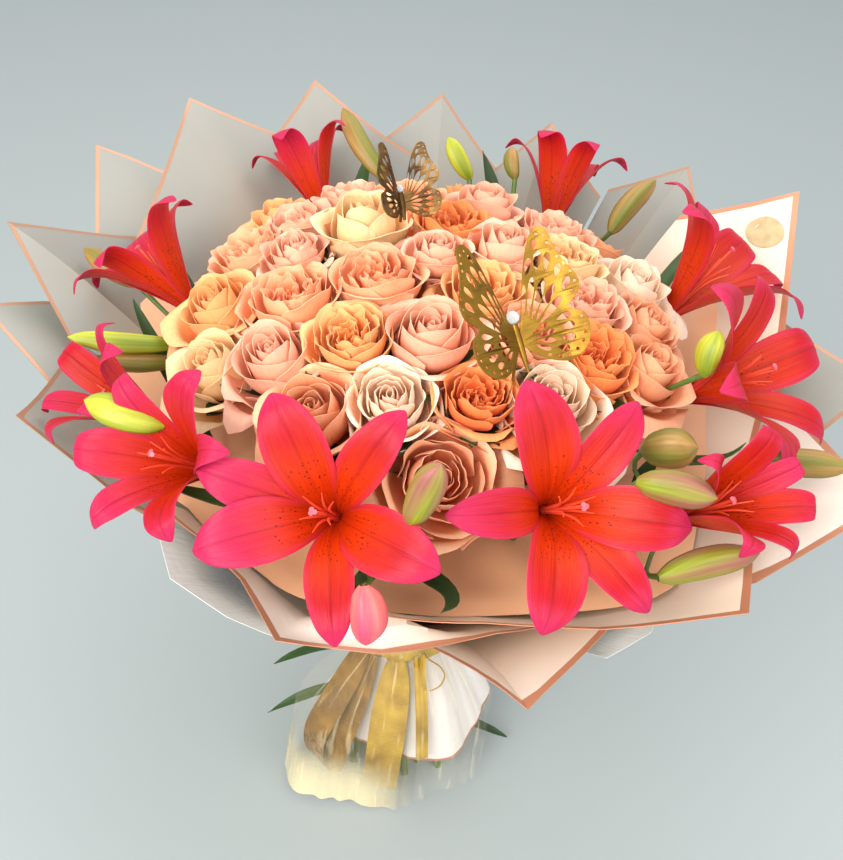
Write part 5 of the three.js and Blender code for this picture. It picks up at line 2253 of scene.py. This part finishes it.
WING_DOTS = (
    (27.3, 56.3), (31, 54.2), (32, 49.5), (32.6, 45), (35, 40), (37.6, 35.2), (39.9, 29.6), (40.6, 23.4),
    (37.6, 18), (38.8, 2.6), (39.4, -2.4), (38.4, -7), (35.8, -11.4), (31.4, -15.2), (26, -17),
    (20.4, -16.2), (15, -13.8),
)


def rounded(ring: Sequence[Sequence[float]], steps: int = 3) -> np.ndarray:
    """Round off a closed ring of points through all of them.

    Args:
        ring: the ring's points.
        steps: points to make out of each.

    Returns:
        The rounded ring's points.
    """
    points = np.array(ring, float)
    before, after, later = np.roll(points, 1, 0), np.roll(points, -1, 0), np.roll(points, -2, 0)
    rows = []
    for k in range(steps):
        t = k / steps
        bend = 2 * before - 5 * points + 4 * after - later
        rows.append(0.5 * (2 * points + (after - before) * t + bend * t**2
                           + (3 * points - before - 3 * after + later) * t**3))
    return np.stack(rows, axis=1).reshape(-1, 2)


def oval(x0: float, y0: float, x1: float, y1: float, width: float) -> np.ndarray:
    """A pointed oval opening from one place to another, widest past its middle.

    Args:
        x0: where the opening starts, across.
        y0: where it starts, along.
        x1: where it ends, across.
        y1: where it ends, along.
        width: its widest width.

    Returns:
        The points of the opening's edge.
    """
    start, along = np.array((x0, y0)), np.array((x1 - x0, y1 - y0))
    side = np.array((-along[1], along[0])) / np.linalg.norm(along) * width * 0.57
    share = ((0, 0), (0.3, 0.62), (0.65, 1.0), (0.9, 0.7))
    right = [start + along * a + side * b for a, b in share]
    left = [start + along * a - side * b for a, b in reversed(share[1:])]
    return rounded([*right, start + along, *left], steps=2)


def dot(x: float, y: float, radius: float = 1.15) -> np.ndarray:
    """A small round opening."""
    turns = np.arange(8) * math.pi / 4
    return np.column_stack([x + radius * np.cos(turns), y + radius * np.sin(turns)])


@dataclass(frozen=True)
class Butterfly:
    """A cut-work butterfly on a pick: body, head, the two wings' directions, scale and pick."""

    name: str
    body: Place
    head: Place
    right: Place
    left: Place
    scale: float
    pick: float
    metal: AntiqueGold = GOLD

    def wing(self, name: str, spread: Place) -> bpy.types.Object:
        """Model one openwork wing as a flat curve with holes, then place it.

        Args:
            name: the wing's name.
            spread: the way from the body to the wing's far edge.

        Returns:
            The wing's mesh.
        """
        ahead = unit(self.head)
        out = unit(np.array(spread) - ahead * np.dot(spread, ahead))
        normal = np.cross(out, ahead)
        curve = bpy.data.curves.new(name, "CURVE")
        curve.dimensions = "2D"
        curve.fill_mode = "BOTH"
        curve.extrude = 0.25
        curve.bevel_depth = 0.15
        openings = [oval(*row) for row in WING_SLOTS] + [dot(*row) for row in WING_DOTS]
        for ring in (rounded(WING_OUTLINE), *openings):
            spline = curve.splines.new("POLY")
            spline.points.add(len(ring) - 1)
            for point, (x, y) in zip(spline.points, ring):
                point.co = (x, y, 0, 1)
            spline.use_cyclic_u = True
        piece = curve_mesh(name, curve)
        flat = points_of(piece)
        raised = flat[:, 2:] + 0.002 * flat[:, :1] ** 2 + 0.6 * np.sin(flat[:, :1] / 5)
        place = (np.array(self.body) + self.scale * (flat[:, :1] * out + flat[:, 1:2] * ahead)
                 + raised * normal)
        set_points(piece, place * MM)
        return piece

    def build(self) -> bpy.types.Object:
        """Build the wings, the body and the pick.

        Returns:
            The finished piece.
        """
        ahead, body = unit(self.head), np.array(self.body)
        spine = np.array([body + ahead * t * self.scale for t in (-20, -8, 4, 10, 16)])
        pick = np.array([body - np.array((0, 0, self.pick)), body])
        trunk = rods(self.name + "_trunk", [(spine, (0.9, 2.0, 2.2, 1.8, 1.2)), (pick, (1, 1))])
        wings = [self.wing("wing_right", self.right), self.wing("wing_left", self.left)]
        piece = join(self.name + "_cutwork", [*wings, trunk])
        self.gem(body + ahead * 13 * self.scale)
        return dress(piece, self.metal, "gold", self.name)

    def gem(self, place: np.ndarray) -> bpy.types.Object:
        """Model the cut stone on the head.

        Args:
            place: the head's place, in millimetres.

        Returns:
            The dressed stone.
        """
        deselect_all()
        bpy.ops.mesh.primitive_uv_sphere_add(segments=10, ring_count=6, radius=4.2 * self.scale * MM,
                                             location=(0, 0, 0))
        piece = bpy.context.active_object
        rename(piece, self.name + "_gem")
        facing_out = unit((0, -1, 0.9))
        flat = points_of(piece)
        flat[:, 2] = np.minimum(flat[:, 2] * 0.75, 0.0023 * self.scale)
        set_points(piece, flat @ frame_along(facing_out) + (place + facing_out * 3) * MM)
        return dress(piece, GEM, "gold")


BUTTERFLIES = (
    Butterfly("butterfly_front", (52, -108, 516), (-0.37, 0.6, 0.71), (0.93, 0.22, 0.26),
              (-0.62, -0.64, 0.45), scale=1, pick=30.5),
    Butterfly("butterfly_back", (-26, 24, 524), (-0.24, 0.62, 0.74), (0.9, 0.25, 0.2),
              (-0.35, -0.65, 0.6), scale=0.62, pick=15, metal=BRONZE),
)


def main() -> None:
    """Build every piece in order and report it."""
    logging.basicConfig(level=logging.INFO, format="%(message)s")
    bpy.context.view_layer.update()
    bed = RoseBed()
    assemblies = (Viewpoint(), GoldCord(), Studio(), bed, LilyRing(), Greenery(bed.roses), *SHEETS, Liner(),
                  Label(), Frill(), Film(), Ribbon(), *BUTTERFLIES)
    for assembly in assemblies:
        assembly.build()
        LOG.info("built %s", type(assembly).__name__)


if __name__ == "__main__":
    main()
